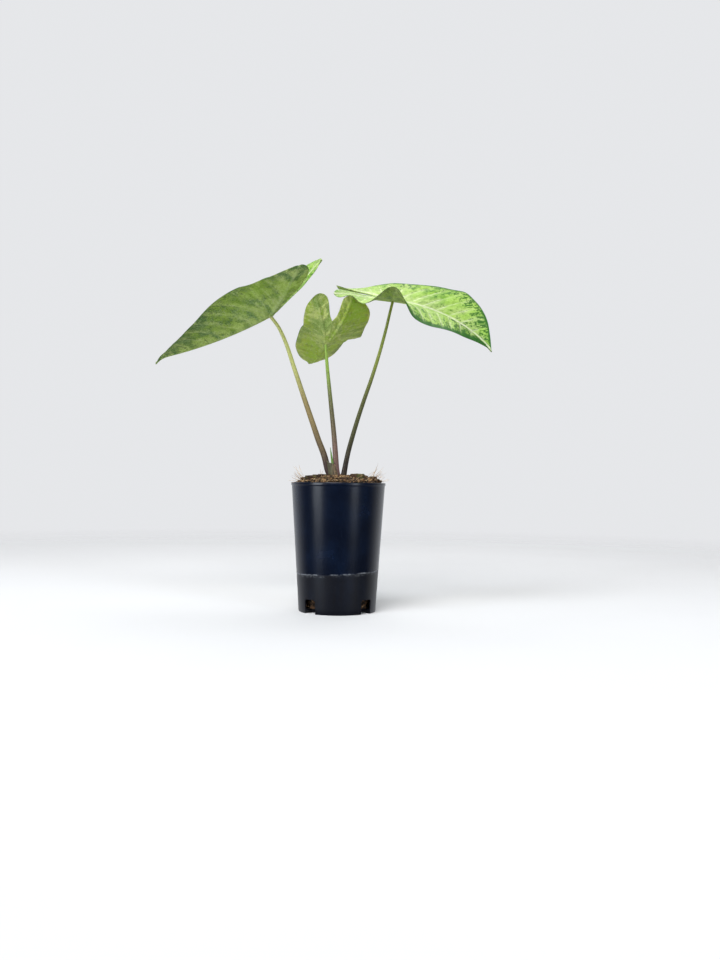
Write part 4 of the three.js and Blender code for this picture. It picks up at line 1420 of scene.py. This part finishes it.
class AddLitter(bpy.types.Operator):
    """Adds loose crumbs, chips and fibres on the mound."""

    bl_idname = "caladium.add_litter"
    bl_label = "Add litter"

    def execute(self, context):
        settings = context.scene.caladium.mix
        dark, brown, straw = settings.dark, settings.brown, settings.straw
        crumbs = earth_material("coir crumbs", dark, brown, straw, 0.3)
        chips = earth_material("husk chips", dark, (0.32, 0.175, 0.075), straw, 0.5, 0.5)
        hand_over(crumbs_bmesh(settings.crumbs), "coir_crumbs", [crumbs])
        hand_over(chips_bmesh(settings.chips), "husk_chips", [chips], sharp=40)
        bm = fibres_bmesh(settings.fibres, settings.strays)
        hand_over(bm, "coir_fibres", [fibre_material(settings)])
        return {"FINISHED"}


class AddCorm(bpy.types.Operator):
    """Finishes the corm in the mix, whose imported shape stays."""

    bl_idname = "caladium.add_corm"
    bl_label = "Finish corm"

    def execute(self, context):
        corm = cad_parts["corm"]
        corm.data.materials.clear()
        corm.data.materials.append(corm_material())
        return {"FINISHED"}


class AddStalks(bpy.types.Operator):
    """Adds the three leaf stalks."""

    bl_idname = "caladium.add_stalks"
    bl_label = "Add stalks"

    def execute(self, context):
        settings = context.scene.caladium.stalks
        for leaf in LEAVES:
            name = leaf["name"]
            material = stalk_material(f"{name} stalk skin", *STALK_COLOURS[name])
            bm = stalk_bmesh(leaf, settings.sides, settings.steps)
            hand_over(bm, f"{name}_petiole", [material], [f"{name}_stalk"])
        return {"FINISHED"}


class AddBlades(bpy.types.Operator):
    """Adds the three arrow-shaped leaf blades with their veins."""

    bl_idname = "caladium.add_blades"
    bl_label = "Add leaf blades"

    def execute(self, context):
        settings = context.scene.caladium.blades
        solid = {"thickness": BLADE["deepest"] * MM, "offset": -1, "vertex_group": "thickness"}
        solid |= {"material_offset": 1, "material_offset_rim": 1}
        for leaf in LEAVES:
            name = leaf["name"]
            steps = (settings.midrib_steps, settings.lobe_steps, settings.rings)
            bm = blade_bmesh(leaf, *steps, settings.relief)
            sides = [leaf_material(leaf, side) for side in ("upper", "under")]
            blade = hand_over(bm, f"{name}_lamina", sides, [f"{name}_blade"])
            blade.vertex_groups.new(name="thickness")
            modify(blade, "thickness", "SOLIDIFY", **solid)
        return {"FINISHED"}


class AddNewLeaf(bpy.types.Operator):
    """Adds the rolled new leaf and the papery sheath around it."""

    bl_idname = "caladium.add_new_leaf"
    bl_label = "Add new leaf"

    def execute(self, context):
        hand_over(spike_bmesh(), "rolled_leaf", [spike_material()], ["new_leaf"])
        sheath = hand_over(sheath_bmesh(), "torn_sheath", [sheath_material()], ["sheath"])
        modify(sheath, "thickness", "SOLIDIFY", thickness=SHEATH["wall"] * MM, offset=0)
        return {"FINISHED"}


class SetStage(bpy.types.Operator):
    """Sets the floor, the studio light and the camera."""

    bl_idname = "caladium.set_stage"
    bl_label = "Set stage"

    def execute(self, context):
        settings = context.scene.caladium.stage
        stage_floor(settings)
        studio_world(settings)
        for name, (place, sides, share, power, colour) in LIGHTS.items():
            area_light(name, place, sides, share * getattr(settings, power), colour)
        studio_camera()
        context.scene.view_settings.view_transform = "Standard"
        return {"FINISHED"}


OPERATORS = [
    AddPot, AddMix, AddBark, AddLitter, AddCorm, AddStalks, AddBlades, AddNewLeaf, SetStage
]


class PlantPanel(bpy.types.Panel):
    """The plant's settings and buttons."""

    bl_idname = "VIEW3D_PT_caladium"
    bl_label = "Potted caladium"
    bl_space_type = "VIEW_3D"
    bl_region_type = "UI"
    bl_category = "Caladium"

    def draw(self, context):
        settings = context.scene.caladium
        for group in (settings.pot, settings.mix, settings.stalks, settings.blades, settings.stage):
            box = self.layout.box()
            for key in group.bl_rna.properties.keys():
                if key not in ("rna_type", "name"):
                    box.prop(group, key)
        for operator in OPERATORS:
            self.layout.operator(operator.bl_idname)


CLASSES = [
    PotSettings, MixSettings, StalkSettings, BladeSettings, StageSettings, PlantSettings,
    *OPERATORS, PlantPanel,
]


def register():
    for cls in CLASSES:
        bpy.utils.register_class(cls)
    bpy.types.Scene.caladium = PointerProperty(type=PlantSettings)


def unregister():
    del bpy.types.Scene.caladium
    for cls in reversed(CLASSES):
        bpy.utils.unregister_class(cls)


def main():
    register()
    for name in ("Cube", "Light", "Camera"):
        spare = bpy.data.objects.get(name)
        if spare is not None:
            bpy.data.objects.remove(spare)
    for operator in OPERATORS:
        group, action = operator.bl_idname.split(".")
        getattr(getattr(bpy.ops, group), action)()


if __name__ == "__main__":
    main()
